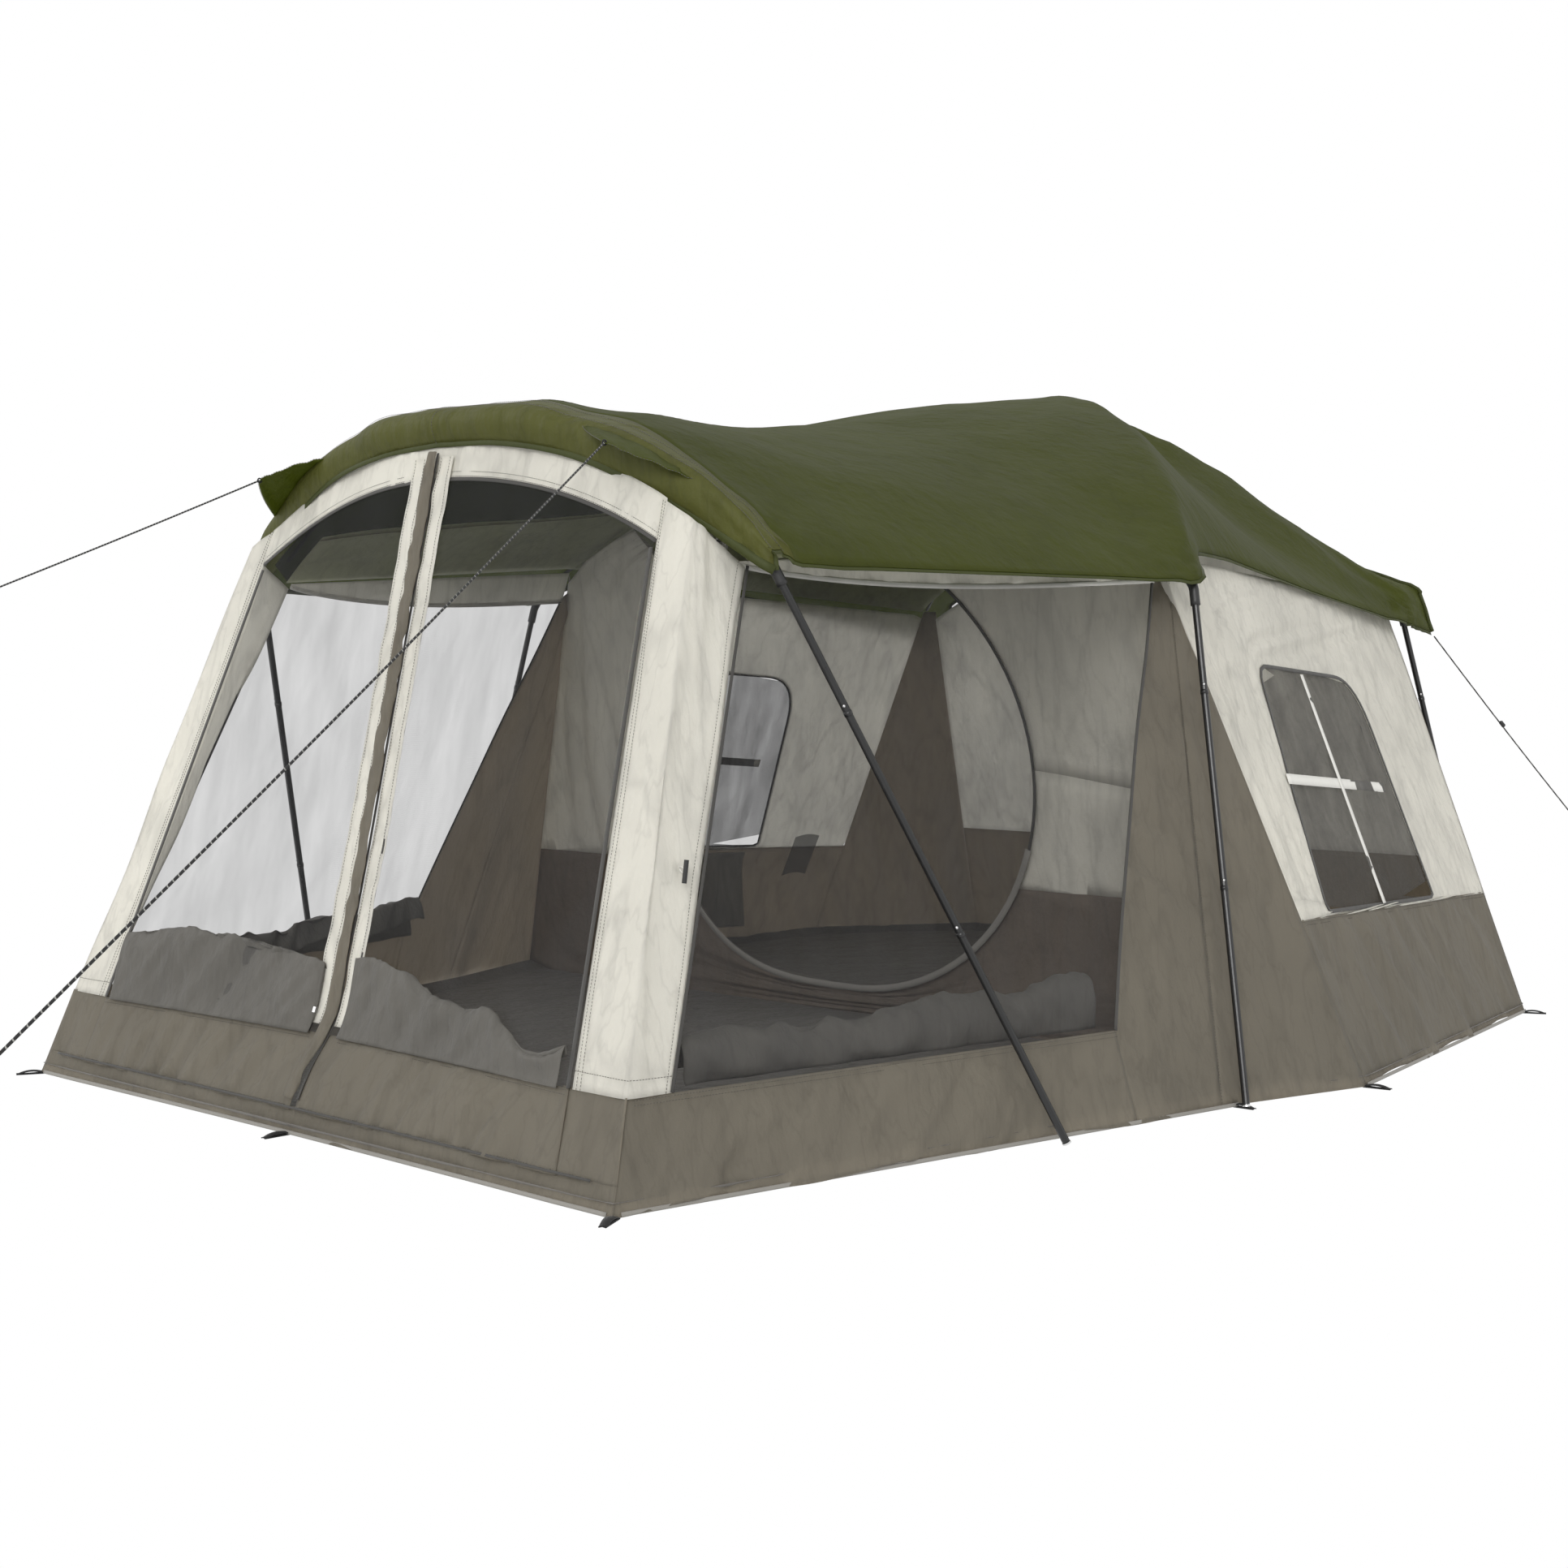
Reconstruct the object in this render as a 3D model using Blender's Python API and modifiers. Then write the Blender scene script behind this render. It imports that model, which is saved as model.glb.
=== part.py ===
"""Screen house: a family cabin tent with a screened front room, a sleeping room and a rain fly.

Metres, +Z up. The zipped front faces -Y, the tent is symmetric about X = 0, and the hem stands on Z = 0.
Places on the tent are written (x, depth, z), where depth runs back from the front hem line. "right" is +X.
"""

import math

import bmesh
import bpy
import numpy as np
from mathutils import Matrix, Vector

# --- Driving dimensions ---------------------------------------------------------------------------
CLOTH = 0.003  # thickness of every cloth solid
SEAM = 0.006  # how far each panel stops short of the seam line it shares with its neighbour
MID_DEPTH = 2.225  # depth of the frame origin, halfway along the tent with its stake loops

FRONT_HALF = 1.18  # half width of the front hem
SIDE_FLARE = 0.227  # how much the side hem widens per metre of depth
SIDE_LEAN = 0.3035  # how much the side wall leans in per metre of height
FRONT_LEAN = 0.353  # how much the front wall leans back per metre of height
SKIRT_TOP = 0.23  # height of the seam on top of the taupe skirt
SILL_TOP = 0.065  # height of the cross zip under the front doors

MID_HEM = (1.585, 1.86, 0.0)  # hem beside the middle leg
WIDE_HEM = (1.74, 2.33, 0.0)  # widest point, where the divider meets the hem
REAR_SIDE_HEM = (1.58, 3.84, 0.0)
REAR_HEM = (1.14, 4.45, 0.0)
MID_EAVE = (1.20, 2.06, 1.50)  # where the divider, the gusset and the window wall meet at the roof
REAR_EAVE = (0.98, 3.90, 1.38)
FRONT_EAVE = (0.935, 0.68, 1.395)
STRIP_TOP = (1.208, 2.03, 1.40)  # where the side screen's rear edge meets the roof
STRIP_BEND = 0.45  # how far up that edge it changes direction
FOLD_TOP = (0.916, 0.508, 1.44)  # top of the fold in a front corner panel

ARCH_TOP = 1.745  # height of the front arch's upper edge on the centre line
ARCH_DROP = 0.19  # how far the arch falls from the centre line to the corner panel
ARCH_BAND = 0.105  # height of the arch band
ARCH_HALF = 0.80
DOOR_CENTRE = (-0.09, 0.85)  # middle of the divider's door opening, across and up

TUBE = 0.0098  # outer radius of a leg tube
TUBE_WALL = 0.0012
NECK = 0.0078  # radius of the swaged neck that plugs into the section above
NECK_LENGTH = 0.05
POLE = 0.0055  # radius of a fibreglass roof pole
ROOF_PEAK = 2.10  # crossing of the roof poles, at the top one's centre
POLE_LEAN = 0.19  # how far the crossed roof poles lean back at their crossing
FLY_GAP = 0.022  # from a pole's centre to the fly above it
CEILING_DROP = 0.075  # from a pole's centre down to the ceiling

LEGS = {  # foot on the ground, top of the tube, fractions of the length at the two plug joints
    "front": ((1.51, 1.19, 0.012), (1.03, 0.66, 1.40), (0.26, 0.64)),
    "middle": ((1.625, 1.86, 0.012), (1.352, 2.03, 1.385), (0.22, 0.60)),
    "rear": ((1.19, 4.46, 0.012), (1.055, 3.965, 1.37), (0.24, 0.62)),
}
SIDES = {"left": -1, "right": 1}


# --- Materials ------------------------------------------------------------------------------------
def material(name, colour, roughness=0.8, metallic=0.0, alpha=1.0):
    found = bpy.data.materials.get(name)
    if found:
        return found
    made = bpy.data.materials.new(name)
    made.use_nodes = True
    shader = made.node_tree.nodes["Principled BSDF"]
    shader.inputs["Base Color"].default_value = (*colour, 1.0)
    shader.inputs["Roughness"].default_value = roughness
    shader.inputs["Metallic"].default_value = metallic
    shader.inputs["Alpha"].default_value = alpha
    made.diffuse_color = (*colour, alpha)
    return made


def taupe():
    return material("taupe_polyester", (0.19, 0.165, 0.135))


def cream():
    return material("cream_polyester", (0.60, 0.58, 0.52))


def olive():
    return material("olive_fly_polyester", (0.075, 0.095, 0.02), 0.6)


def storm_grey():
    return material("grey_storm_cloth", (0.15, 0.15, 0.14), 0.7)


def insect_mesh():
    return material("insect_mesh", (0.20, 0.20, 0.20), 0.9, alpha=0.45)


def floor_cloth():
    return material("grey_floor_cloth", (0.09, 0.09, 0.09), 0.6)


def steel():
    return material("black_steel", (0.012, 0.012, 0.012), 0.25, 0.6)


def fibreglass():
    return material("grey_fibreglass", (0.06, 0.06, 0.06), 0.35)


def black_plastic():
    return material("black_plastic", (0.015, 0.015, 0.015), 0.45)


def bright_steel():
    return material("bright_steel", (0.75, 0.75, 0.75), 0.25, 1.0)


def black_cord():
    return material("black_cord", (0.02, 0.02, 0.02), 0.8)


# --- Places ---------------------------------------------------------------------------------------
def place(point, side=1):
    """A tent place (x, depth, z) as a world point, on the right (1) or the left (-1)."""
    x, depth, z = point
    return Vector((side * x, depth - MID_DEPTH, z))


def between(start, end, share):
    return tuple(a + (b - a) * share for a, b in zip(start, end))


def front_point(x, z):
    """A point of the leaning front wall."""
    return (x, FRONT_LEAN * z, z)


def fold_x(z):
    """Half width of the front wall at a height: the fold line of the corner panels."""
    return FRONT_HALF + (FOLD_TOP[0] - FRONT_HALF) * z / FOLD_TOP[2]


def side_point(depth, z):
    """A point of the screen room's right side wall."""
    return (FRONT_HALF + SIDE_FLARE * depth - SIDE_LEAN * z, depth, z)


def door_edge_x(z):
    """Half width of a front door: the inner edge of the corner panel."""
    return 0.995 - 0.137 * z


def arch_z(x):
    """Upper edge of the front arch."""
    return ARCH_TOP - ARCH_DROP * (abs(x) / ARCH_HALF) ** 2.2


def divider_point(x, z):
    lean = (WIDE_HEM[1] - MID_EAVE[1]) / MID_EAVE[2]
    return (x, WIDE_HEM[1] - lean * z, z)


def divider_half(z):
    return WIDE_HEM[0] + (MID_EAVE[0] - WIDE_HEM[0]) * z / MID_EAVE[2]


def window_wall_point(along, z):
    """A point of the right window wall; along runs from 0 at the divider to 1 at the rear seam."""
    share = z / MID_EAVE[2]
    front = between(WIDE_HEM, MID_EAVE, share)
    rear = between(REAR_SIDE_HEM, REAR_EAVE, min(share, 1.0))
    x, depth, _ = between(front, rear, along)
    return (x, depth, z)


# --- Builders -------------------------------------------------------------------------------------
def new_object(name, data, look):
    made = bpy.data.objects.new(name, data)
    bpy.data.collections["screen_house"].objects.link(made)
    made.data.materials.append(look)
    return made


def mesh_object(name, points, faces, look, smooth=False):
    data = bpy.data.meshes.new(name)
    data.from_pydata([tuple(p) for p in points], [], faces)
    if smooth:
        data.polygons.foreach_set("use_smooth", [True] * len(data.polygons))
    data.update()
    return new_object(name, data, look)


def thicken(made, thickness=CLOTH):
    solid = made.modifiers.new("thickness", "SOLIDIFY")
    solid.thickness = thickness
    solid.offset = 0.0
    solid.use_even_offset = True
    return made


def inset(points, gap):
    """The outline drawn in by gap in its own plane."""
    points = [Vector(p) for p in points]
    count = len(points)
    normal = Vector((0, 0, 0))
    for i, point in enumerate(points):
        normal += point.cross(points[(i + 1) % count])
    normal.normalize()
    drawn = []
    for i, point in enumerate(points):
        before = (point - points[i - 1]).normalized()
        after = (points[(i + 1) % count] - point).normalized()
        inward = normal.cross(before) + normal.cross(after)
        reach = 1 + normal.cross(before).dot(normal.cross(after))
        drawn.append(point + inward * gap / max(reach, 0.3))
    return drawn


def panel(name, outline, look, holes=(), gap=SEAM):
    """A cloth panel: an outline drawn in by the seam gap, with open holes, filled and thickened."""
    shape = bmesh.new()
    for loop in [inset(outline, gap)] + [list(hole) for hole in holes]:
        corners = [shape.verts.new(p) for p in loop]
        for i, corner in enumerate(corners):
            shape.edges.new((corner, corners[(i + 1) % len(corners)]))
    bmesh.ops.triangle_fill(shape, use_beauty=True, edges=shape.edges[:])
    bmesh.ops.recalc_face_normals(shape, faces=shape.faces[:])
    data = bpy.data.meshes.new(name)
    shape.to_mesh(data)
    shape.free()
    return thicken(new_object(name, data, look))


def folded_panel(name, flats, look):
    """A cloth panel made of flat pieces that meet along its fold lines."""
    shape = bmesh.new()
    for flat in flats:
        shape.faces.new([shape.verts.new(point) for point in flat])
    bmesh.ops.remove_doubles(shape, verts=shape.verts[:], dist=0.0001)
    bmesh.ops.recalc_face_normals(shape, faces=shape.faces[:])
    data = bpy.data.meshes.new(name)
    shape.to_mesh(data)
    shape.free()
    return thicken(new_object(name, data, look))


def grid_sheet(name, rows, look, smooth=True, thickness=CLOTH):
    """A curved cloth sheet through equally long rows of points."""
    width = len(rows[0])
    points = [point for row in rows for point in row]
    faces = []
    for i in range(len(rows) - 1):
        for j in range(width - 1):
            corner = i * width + j
            faces.append((corner, corner + 1, corner + width + 1, corner + width))
    return thicken(mesh_object(name, points, faces, look, smooth), thickness)


def rod(name, points, radius, look, resolution=2):
    """A round bar or cord along a list of world points."""
    data = bpy.data.curves.new(name, "CURVE")
    data.dimensions = "3D"
    data.bevel_depth = radius
    data.bevel_resolution = resolution
    data.use_fill_caps = True
    line = data.splines.new("POLY")
    line.points.add(len(points) - 1)
    for spot, point in zip(line.points, points):
        spot.co = (*point, 1.0)
    return new_object(name, data, look)


def turned(name, profile, start, direction, look):
    """A turned piece: (radius, height) profile down the outside, spun about the line from start."""
    data = bpy.data.meshes.new(name)
    closed = [(i, (i + 1) % len(profile)) for i in range(len(profile))]
    data.from_pydata([(r, 0.0, h) for r, h in profile], closed, [])
    made = new_object(name, data, look)
    spin = made.modifiers.new("turn", "SCREW")
    spin.steps = 14
    spin.render_steps = 14
    spin.use_merge_vertices = True
    spin.merge_threshold = 0.0001
    turn = Vector(direction).to_track_quat("Z", "Y").to_matrix().to_4x4()
    made.matrix_world = Matrix.Translation(start) @ turn
    return made


# --- Cloth ----------------------------------------------------------------------------------------
def stake_tab(point, outward, length=0.09, half=0.016):
    """Four corners of a webbing stake tab that stands out from the hem at a point."""
    out = Vector((outward[0], outward[1], 0)).normalized()
    across = Vector((-out.y, out.x, 0)) * half
    root = Vector(point) - out * 0.004
    return [root - across, root + out * length - across, root + out * length + across, root + across]


def groundsheet():
    """The floor of both rooms, with the webbing stake tabs sewn to its hem."""
    inner = SEAM + 0.012
    stations = [
        (place((FRONT_HALF - inner, inner, 0)), (0.5, -1.0)),
        (place((MID_HEM[0] - inner, MID_HEM[1], 0)), (1.0, 0.0)),
        (place((WIDE_HEM[0] - inner, WIDE_HEM[1], 0)), (1.0, 0.1)),
        (place((REAR_SIDE_HEM[0] - inner, REAR_SIDE_HEM[1], 0)), (1.0, 0.4)),
        (place((REAR_HEM[0] - inner, REAR_HEM[1] - inner, 0)), (0.4, 1.0)),
    ]
    right = []
    for point, outward in stations:
        right += stake_tab(point, outward)
    left = [Vector((-p.x, p.y, p.z)) for p in reversed(right)]
    front_tab = stake_tab(place((0.0, inner, 0)), (0.0, -1.0))
    outline = front_tab + right + left
    for point in outline:
        point.z = CLOTH / 2
    return panel("groundsheet", outline, floor_cloth(), gap=0.0)


def front_sill():
    """The taupe strip under the cross zip, turned up at both ends to the corner folds."""
    top = SILL_TOP - 0.002
    low = 0.004
    outline = [place(front_point(-fold_x(low), low)), place(front_point(fold_x(low), low))]
    for side in (1, -1):
        rise = [
            place(front_point(fold_x(SKIRT_TOP), SKIRT_TOP), side),
            place(front_point(door_edge_x(SKIRT_TOP) + 0.008, SKIRT_TOP), side),
            place(front_point(door_edge_x(top) + 0.008, top), side),
        ]
        outline += rise if side == 1 else rise[::-1]
    return panel("front_sill", outline, taupe())


def front_arch():
    """The cream band that arches over the doors."""
    stops = np.linspace(-ARCH_HALF, ARCH_HALF, 15)
    upper = [place(front_point(x, arch_z(x))) for x in stops]
    lower = [place(front_point(x, arch_z(x) - ARCH_BAND)) for x in stops[::-1]]
    return panel("front_arch", upper + lower, cream())


def corner_panel(side_name, side):
    """The cream panel folded round a front corner."""
    low = SKIRT_TOP + SEAM
    inner_top = front_point(ARCH_HALF + 0.008, arch_z(ARCH_HALF) - 0.020)
    inner_low = front_point(door_edge_x(low) + 0.008, low)
    fold_low = front_point(fold_x(low), low)
    back_low = side_point(0.20, low)
    front = [inner_low, fold_low, FOLD_TOP, inner_top]
    beside = [fold_low, back_low, FRONT_EAVE, FOLD_TOP]
    flats = [[place(p, side) for p in flat] for flat in (front, beside)]
    return folded_panel(f"corner_panel_{side_name}", flats, cream())


def front_door(side_name, side):
    """One half of the zipped front: taupe foot, grey storm flap and mesh, edged at the centre zip."""
    inner = 0.012
    jamb_top = 1.447
    outline = [front_point(inner, SILL_TOP), front_point(door_edge_x(SILL_TOP), SILL_TOP)]
    for x in np.linspace(door_edge_x(jamb_top), inner, 8):
        outline.append(front_point(x, arch_z(x) - ARCH_BAND - 0.001))
    points = [place(p, side) for p in outline]
    made = panel(f"front_door_{side_name}", points, insect_mesh(), gap=0.003)
    return set_origin(made, place(front_point(door_edge_x(0.7), 0.7), side))


def set_origin(made, point):
    """Moves the object's origin to a world point and leaves its shape where it is."""
    made.data.transform(Matrix.Translation(-point))
    made.location = point
    return made


def zip_slider(name, point, down):
    """A zip slider with its pull tab, on a line that runs down a door."""
    down = Vector(down).normalized()
    across = Vector((1, 0, 0))
    out = down.cross(across).normalized()
    if out.y > 0:
        out = -out
    shape = bmesh.new()
    frame = Matrix((across, out, down)).transposed().to_4x4()
    bmesh.ops.create_cube(shape, size=1.0, matrix=frame @ Matrix.Diagonal((0.010, 0.005, 0.014, 1)))
    data = bpy.data.meshes.new(name)
    shape.to_mesh(data)
    shape.free()
    made = new_object(name, data, bright_steel())
    made.location = Vector(point) + out * 0.006
    return made


def side_screen(side_name, side):
    """The mesh side of the screen room."""
    low = SKIRT_TOP + SEAM
    outline = [
        side_point(0.20, low),
        side_point(1.52, low),
        between(side_point(1.52, low), STRIP_TOP, STRIP_BEND),
        STRIP_TOP,
        (FRONT_EAVE[0] + 0.13, 1.30, 1.375),
        FRONT_EAVE,
    ]
    return panel(f"side_screen_{side_name}", [place(p, side) for p in outline][::side], insect_mesh())


def side_wall(side_name, side):
    """The taupe skirt of the screen room, with the strip and the triangular gusset behind the mesh."""
    low = 0.005
    top = SKIRT_TOP - SEAM
    front_low = side_point(0.012, low)
    mid_low = MID_HEM[:2] + (low,)
    wide_low = WIDE_HEM[:2] + (low,)
    gusset_top = between(WIDE_HEM, MID_EAVE, 0.985)
    strip_top = (STRIP_TOP[0] + 0.004, STRIP_TOP[1] + 0.018, STRIP_TOP[2] - 0.01)
    bend = between(side_point(1.54, SKIRT_TOP), STRIP_TOP, STRIP_BEND)
    bend = (bend[0], bend[1] + 0.016, bend[2])
    strip_low = side_point(1.54, top)
    front_top = (fold_x(top) + 0.002, FRONT_LEAN * top + 0.010, top)
    skirt = [front_low, mid_low, strip_low, front_top]
    strip = [[mid_low, bend, strip_low], [mid_low, strip_top, bend]]
    gusset = [[mid_low, gusset_top, strip_top], [mid_low, wide_low, gusset_top]]
    flats = [[place(p, side) for p in flat] for flat in [skirt] + strip + gusset]
    return folded_panel(f"side_wall_{side_name}", flats, taupe())


def door_outline(grow=0.0, count=36):
    """The D-shaped door in the divider: round at the right, nearly straight at its left edge."""
    half = 0.82 + grow
    rise = 0.755 + grow
    points = []
    for turn in np.linspace(0, 2 * math.pi, count, endpoint=False):
        reach = math.cos(turn)
        if reach < 0:
            reach = -abs(reach) ** 0.6
        x = DOOR_CENTRE[0] + half * reach
        z = DOOR_CENTRE[1] + rise * math.sin(turn)
        points.append(place(divider_point(x, z)))
    return points


def divider_wall():
    """The wall between the rooms, with its door opening."""
    low = 0.008
    roof = [(x, 1.50 + 0.27 * (1 - (x / 1.17) ** 2)) for x in np.linspace(1.17, -1.17, 13)]
    half = divider_half(low) - 0.014
    outline = [place(divider_point(-half, low)), place(divider_point(half, low))]
    outline += [place(divider_point(x, z)) for x, z in roof]
    return panel("divider_wall", outline, cream(), holes=[door_outline()], gap=0.010)


def divider_door():
    """The mesh door in the divider, hinged at its left edge."""
    made = panel("divider_door", door_outline(-0.008), insect_mesh(), gap=0.0)
    return set_origin(made, place(divider_point(DOOR_CENTRE[0] - 0.812, DOOR_CENTRE[1])))


def window_outline(side, grow=0.0):
    """The side window: straight foot, rounded top, leaning with the wall."""
    corners = [(0.13, 0.455), (0.68, 0.425)]
    rear = [(0.665, 0.80), (0.655, 0.98), (0.60, 1.10), (0.52, 1.135)]
    front = [(0.27, 1.155), (0.225, 1.13), (0.20, 1.04), (0.155, 0.80)]
    points = corners + rear + front
    middle_along = sum(p[0] for p in points) / len(points)
    middle_z = sum(p[1] for p in points) / len(points)
    scale = 1 + grow / 0.38
    grown = []
    for along, z in points:
        along = middle_along + (along - middle_along) * scale
        z = middle_z + (z - middle_z) * scale
        grown.append(place(window_wall_point(along, z), side))
    return grown


def window_wall(side_name, side):
    """The wall of the sleeping room from the divider to the rear seam, with its window opening."""
    outline = [
        window_wall_point(0.0, 0.006),
        window_wall_point(1.0, 0.006),
        window_wall_point(1.0, 1.37),
        window_wall_point(0.0, 1.48),
    ]
    points = [place(p, side) for p in outline]
    return panel(f"window_wall_{side_name}", points[::side], cream(), holes=[window_outline(side)])


def window_screen(side_name, side):
    """The mesh of a side window with the two tapes that cross it."""
    return panel(f"window_screen_{side_name}", window_outline(side, -0.006), insect_mesh(), gap=0.0)


def rear_wall():
    """The rear wall with the triangular gusset at each end."""
    low = 0.006
    rise = 0.27
    side_low = (REAR_SIDE_HEM[0], REAR_SIDE_HEM[1] + 0.016, low)
    rear_low = (REAR_HEM[0], REAR_HEM[1], low)
    eave = (REAR_EAVE[0] - 0.012, REAR_EAVE[1] + 0.012, REAR_EAVE[2] - 0.01)
    wall = [place(eave, -1), place(rear_low, -1), place(rear_low), place(eave)]
    for x in np.linspace(0.6, -0.6, 5):
        wall.append(place((x, 3.905, eave[2] + rise * (1 - (x / REAR_EAVE[0]) ** 2))))
    gussets = [[place(p, side) for p in (side_low, rear_low, eave)] for side in (1, -1)]
    return folded_panel("rear_wall", [wall] + gussets, cream())


# --- Roof -----------------------------------------------------------------------------------------
def roof_pole_point(share):
    """Centre line of the roof pole that runs from the left middle leg to the right rear leg."""
    start = (-LEGS["middle"][1][0] + 0.03, LEGS["middle"][1][1] + 0.03, 1.46)
    end = (LEGS["rear"][1][0] - 0.02, LEGS["rear"][1][1] - 0.03, 1.42)
    x, depth, _ = between(start, end, share)
    cross = start[0] / (start[0] - end[0])
    if share < cross:
        foot, bow = start[2], 1 - (1 - share / cross) ** 2.1
    else:
        foot, bow = end[2], 1 - ((share - cross) / (1 - cross)) ** 1.15
    return (x, depth + POLE_LEAN * bow, foot + (ROOF_PEAK - foot) * bow)


def crown_height(depth):
    """Height of the fly on the centre line: hoop, saddle, peak and the fall to the rear."""
    depths = [0.50, 0.56, 0.72, 1.10, 1.50, 1.95, 2.50, 3.00, 3.28, 3.60, 3.90, 4.12]
    heights = [1.765, 1.83, 1.875, 1.855, 1.865, 1.915, 2.02, 2.10, 2.122, 1.98, 1.79, 1.65]
    return float(np.interp(depth, depths, heights))


def fly_eave(depth):
    """Half width and height of the fly's side edge."""
    depths = [0.50, 0.66, 2.03, 2.35, 2.52, 3.16, 3.54, 3.87, 4.12]
    halves = [0.98, 1.075, 1.425, 1.29, 1.20, 1.15, 1.125, 1.12, 1.10]
    heights = [1.46, 1.395, 1.37, 1.45, 1.47, 1.40, 1.36, 1.33, 1.29]
    return float(np.interp(depth, depths, halves)), float(np.interp(depth, depths, heights))


def ceiling_eave(depth):
    """Half width and height of the seam between the ceiling and the side walls."""
    depths = [FRONT_EAVE[1], MID_EAVE[1], REAR_EAVE[1]]
    halves = [FRONT_EAVE[0], MID_EAVE[0], REAR_EAVE[0]]
    heights = [FRONT_EAVE[2] + 0.016, MID_EAVE[2] + 0.016, REAR_EAVE[2] + 0.016]
    return float(np.interp(depth, depths, halves)), float(np.interp(depth, depths, heights))


def pole_beside(depth):
    """Distance from the centre line and height of the nearer roof pole at a depth."""
    line = [roof_pole_point(share) for share in np.linspace(0, 1, 61)]
    depths = [point[1] for point in line]
    half = np.interp(depth, depths, [abs(point[0]) for point in line])
    return float(half), float(np.interp(depth, depths, [point[2] for point in line]))


def roof_section(depth, eave, crown, pole_offset):
    """Right half of a cross-section of the roof cloth, (x, height) from the eave to the centre line."""
    half, low = eave
    ridge, ridge_height = pole_beside(depth)
    ridge += 0.6 * pole_offset
    ridge_height += pole_offset
    ahead = (depth - 0.50) / (LEGS["middle"][1][1] - 0.47)
    if ahead < 1:
        ridge = half * (0.50 + 0.45 * ahead)
    ridge = min(max(ridge, 0.09), half - 0.03)
    arch_height = low + (crown - low) * (1 - (ridge / half) ** 2.3)
    if ahead < 1:
        ridge_height = arch_height + max(0.0, ridge_height - arch_height) * ahead ** 4
    ridge_height = max(ridge_height, arch_height)
    section = []
    for share in np.linspace(0, 1, 5)[:-1]:
        section.append((half + (ridge - half) * share, low + (ridge_height - low) * share ** 0.9))
    for share in np.linspace(1, 0, 8):
        section.append((ridge * share, crown + (ridge_height - crown) * share ** 2.0))
    return section


def roof_row(depth, eave, crown, pole_offset, lip=0.0):
    """A whole cross-section as world points, left to right; lip sets the side ends back."""
    right = []
    for x, height in roof_section(depth, eave, crown, pole_offset):
        right.append((x, depth + lip * (x / eave[0]) ** 2, height))
    left = [place(point, -1) for point in right[:-1]]
    return left + [place(point) for point in reversed(right)]


def rain_fly():
    """The olive rain fly over the hoop and the roof poles."""
    depths = [0.50, 0.56, 0.64, 0.72, 0.90, 1.10, 1.30, 1.50, 1.75, 2.00]
    depths += [roof_pole_point(share)[1] for share in np.linspace(0, 1, 17)] + [4.02, 4.12]
    rows = []
    for depth in depths:
        lip = 0.03 * max(0.0, (0.64 - depth) / 0.14)
        rows.append(roof_row(depth, fly_eave(depth), crown_height(depth), FLY_GAP, lip))
    return grid_sheet("rain_fly", rows, olive())


def ceiling():
    """The roof cloth of the tent body, hung under the poles."""
    rows = []
    for depth in np.linspace(0.78, 3.84, 15):
        crown = crown_height(depth) - CEILING_DROP - FLY_GAP
        rows.append(roof_row(depth, ceiling_eave(depth), crown, -CEILING_DROP))
    return grid_sheet("ceiling", rows, taupe())


def roof_pole(name, mirror, lift):
    points = [place(roof_pole_point(s), mirror) + Vector((0, 0, lift)) for s in np.linspace(0, 1, 25)]
    return rod(name, points, POLE, fibreglass())


def front_hoop():
    """The fibreglass hoop between the front legs that holds the brow of the fly."""
    depth = 0.70
    section = roof_section(depth, fly_eave(depth), crown_height(depth), 0.0)[1:]
    right = []
    for i, (x, height) in enumerate(section):
        ahead = section[min(i + 1, len(section) - 1)]
        behind = section[max(i - 1, 0)]
        slope = Vector((behind[0] - ahead[0], behind[1] - ahead[1])).normalized()
        right.append((x + slope.y * FLY_GAP, depth, height - slope.x * FLY_GAP))
    right[-1] = (0.0, depth, section[-1][1] - FLY_GAP)
    left = [place(point, -1) for point in right[:-1]]
    return rod("front_hoop", left + [place(point) for point in reversed(right)], POLE, fibreglass())


# --- Legs -----------------------------------------------------------------------------------------
def section_profile(size, plugs_in):
    """Half outline of a leg tube, from its upper end down; a section that plugs in has a thin neck."""
    bore = TUBE - TUBE_WALL
    outline = [(TUBE, 0.0), (TUBE, -size), (bore, -size), (bore, -0.012)]
    if plugs_in:
        neck_bore = NECK - TUBE_WALL
        outline += [(neck_bore, -0.004), (neck_bore, NECK_LENGTH), (NECK, NECK_LENGTH), (NECK, 0.0)]
    else:
        outline += [(0.0, -0.004), (0.0, 0.0)]
    return outline


def leg(leg_name, side_name, side):
    """Three tube sections that plug together, under the elbow pocket of the fly."""
    foot, top, joints = LEGS[leg_name]
    foot = place(foot, side)
    top = place(top, side)
    length = (foot - top).length
    down = (foot - top).normalized()
    spans = {"upper": (0.0, joints[0]), "middle": joints, "lower": (joints[1], 1.0)}
    for section, (start, end) in spans.items():
        size = (end - start) * length - 0.0006
        profile = section_profile(size, section != "upper")
        upper_end = top + down * (start * length)
        turned(f"{leg_name}_leg_{section}_{side_name}", profile, upper_end, -down, steel())


def foot_pin(leg_name, side_name, side):
    """The steel pin and ring on the hem strap that stands up into the foot of a leg."""
    foot, top, _ = LEGS[leg_name]
    foot = place(foot, side)
    up = (place(top, side) - foot).normalized()
    pin = [(0.0, 0.045), (0.004, 0.042), (0.004, 0.0)]
    flange = [(0.011, -0.0006), (0.011, -0.005), (0.0, -0.005)]
    profile = pin + flange
    low = foot - up * 0.0004
    return turned(f"{leg_name}_foot_pin_{side_name}", profile, low, up, bright_steel())


# --- Small parts ----------------------------------------------------------------------------------
def hinged_cloth(name, outline, look, hinge):
    made = panel(name, outline, look, gap=0.0)
    return set_origin(made, hinge)


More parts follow.
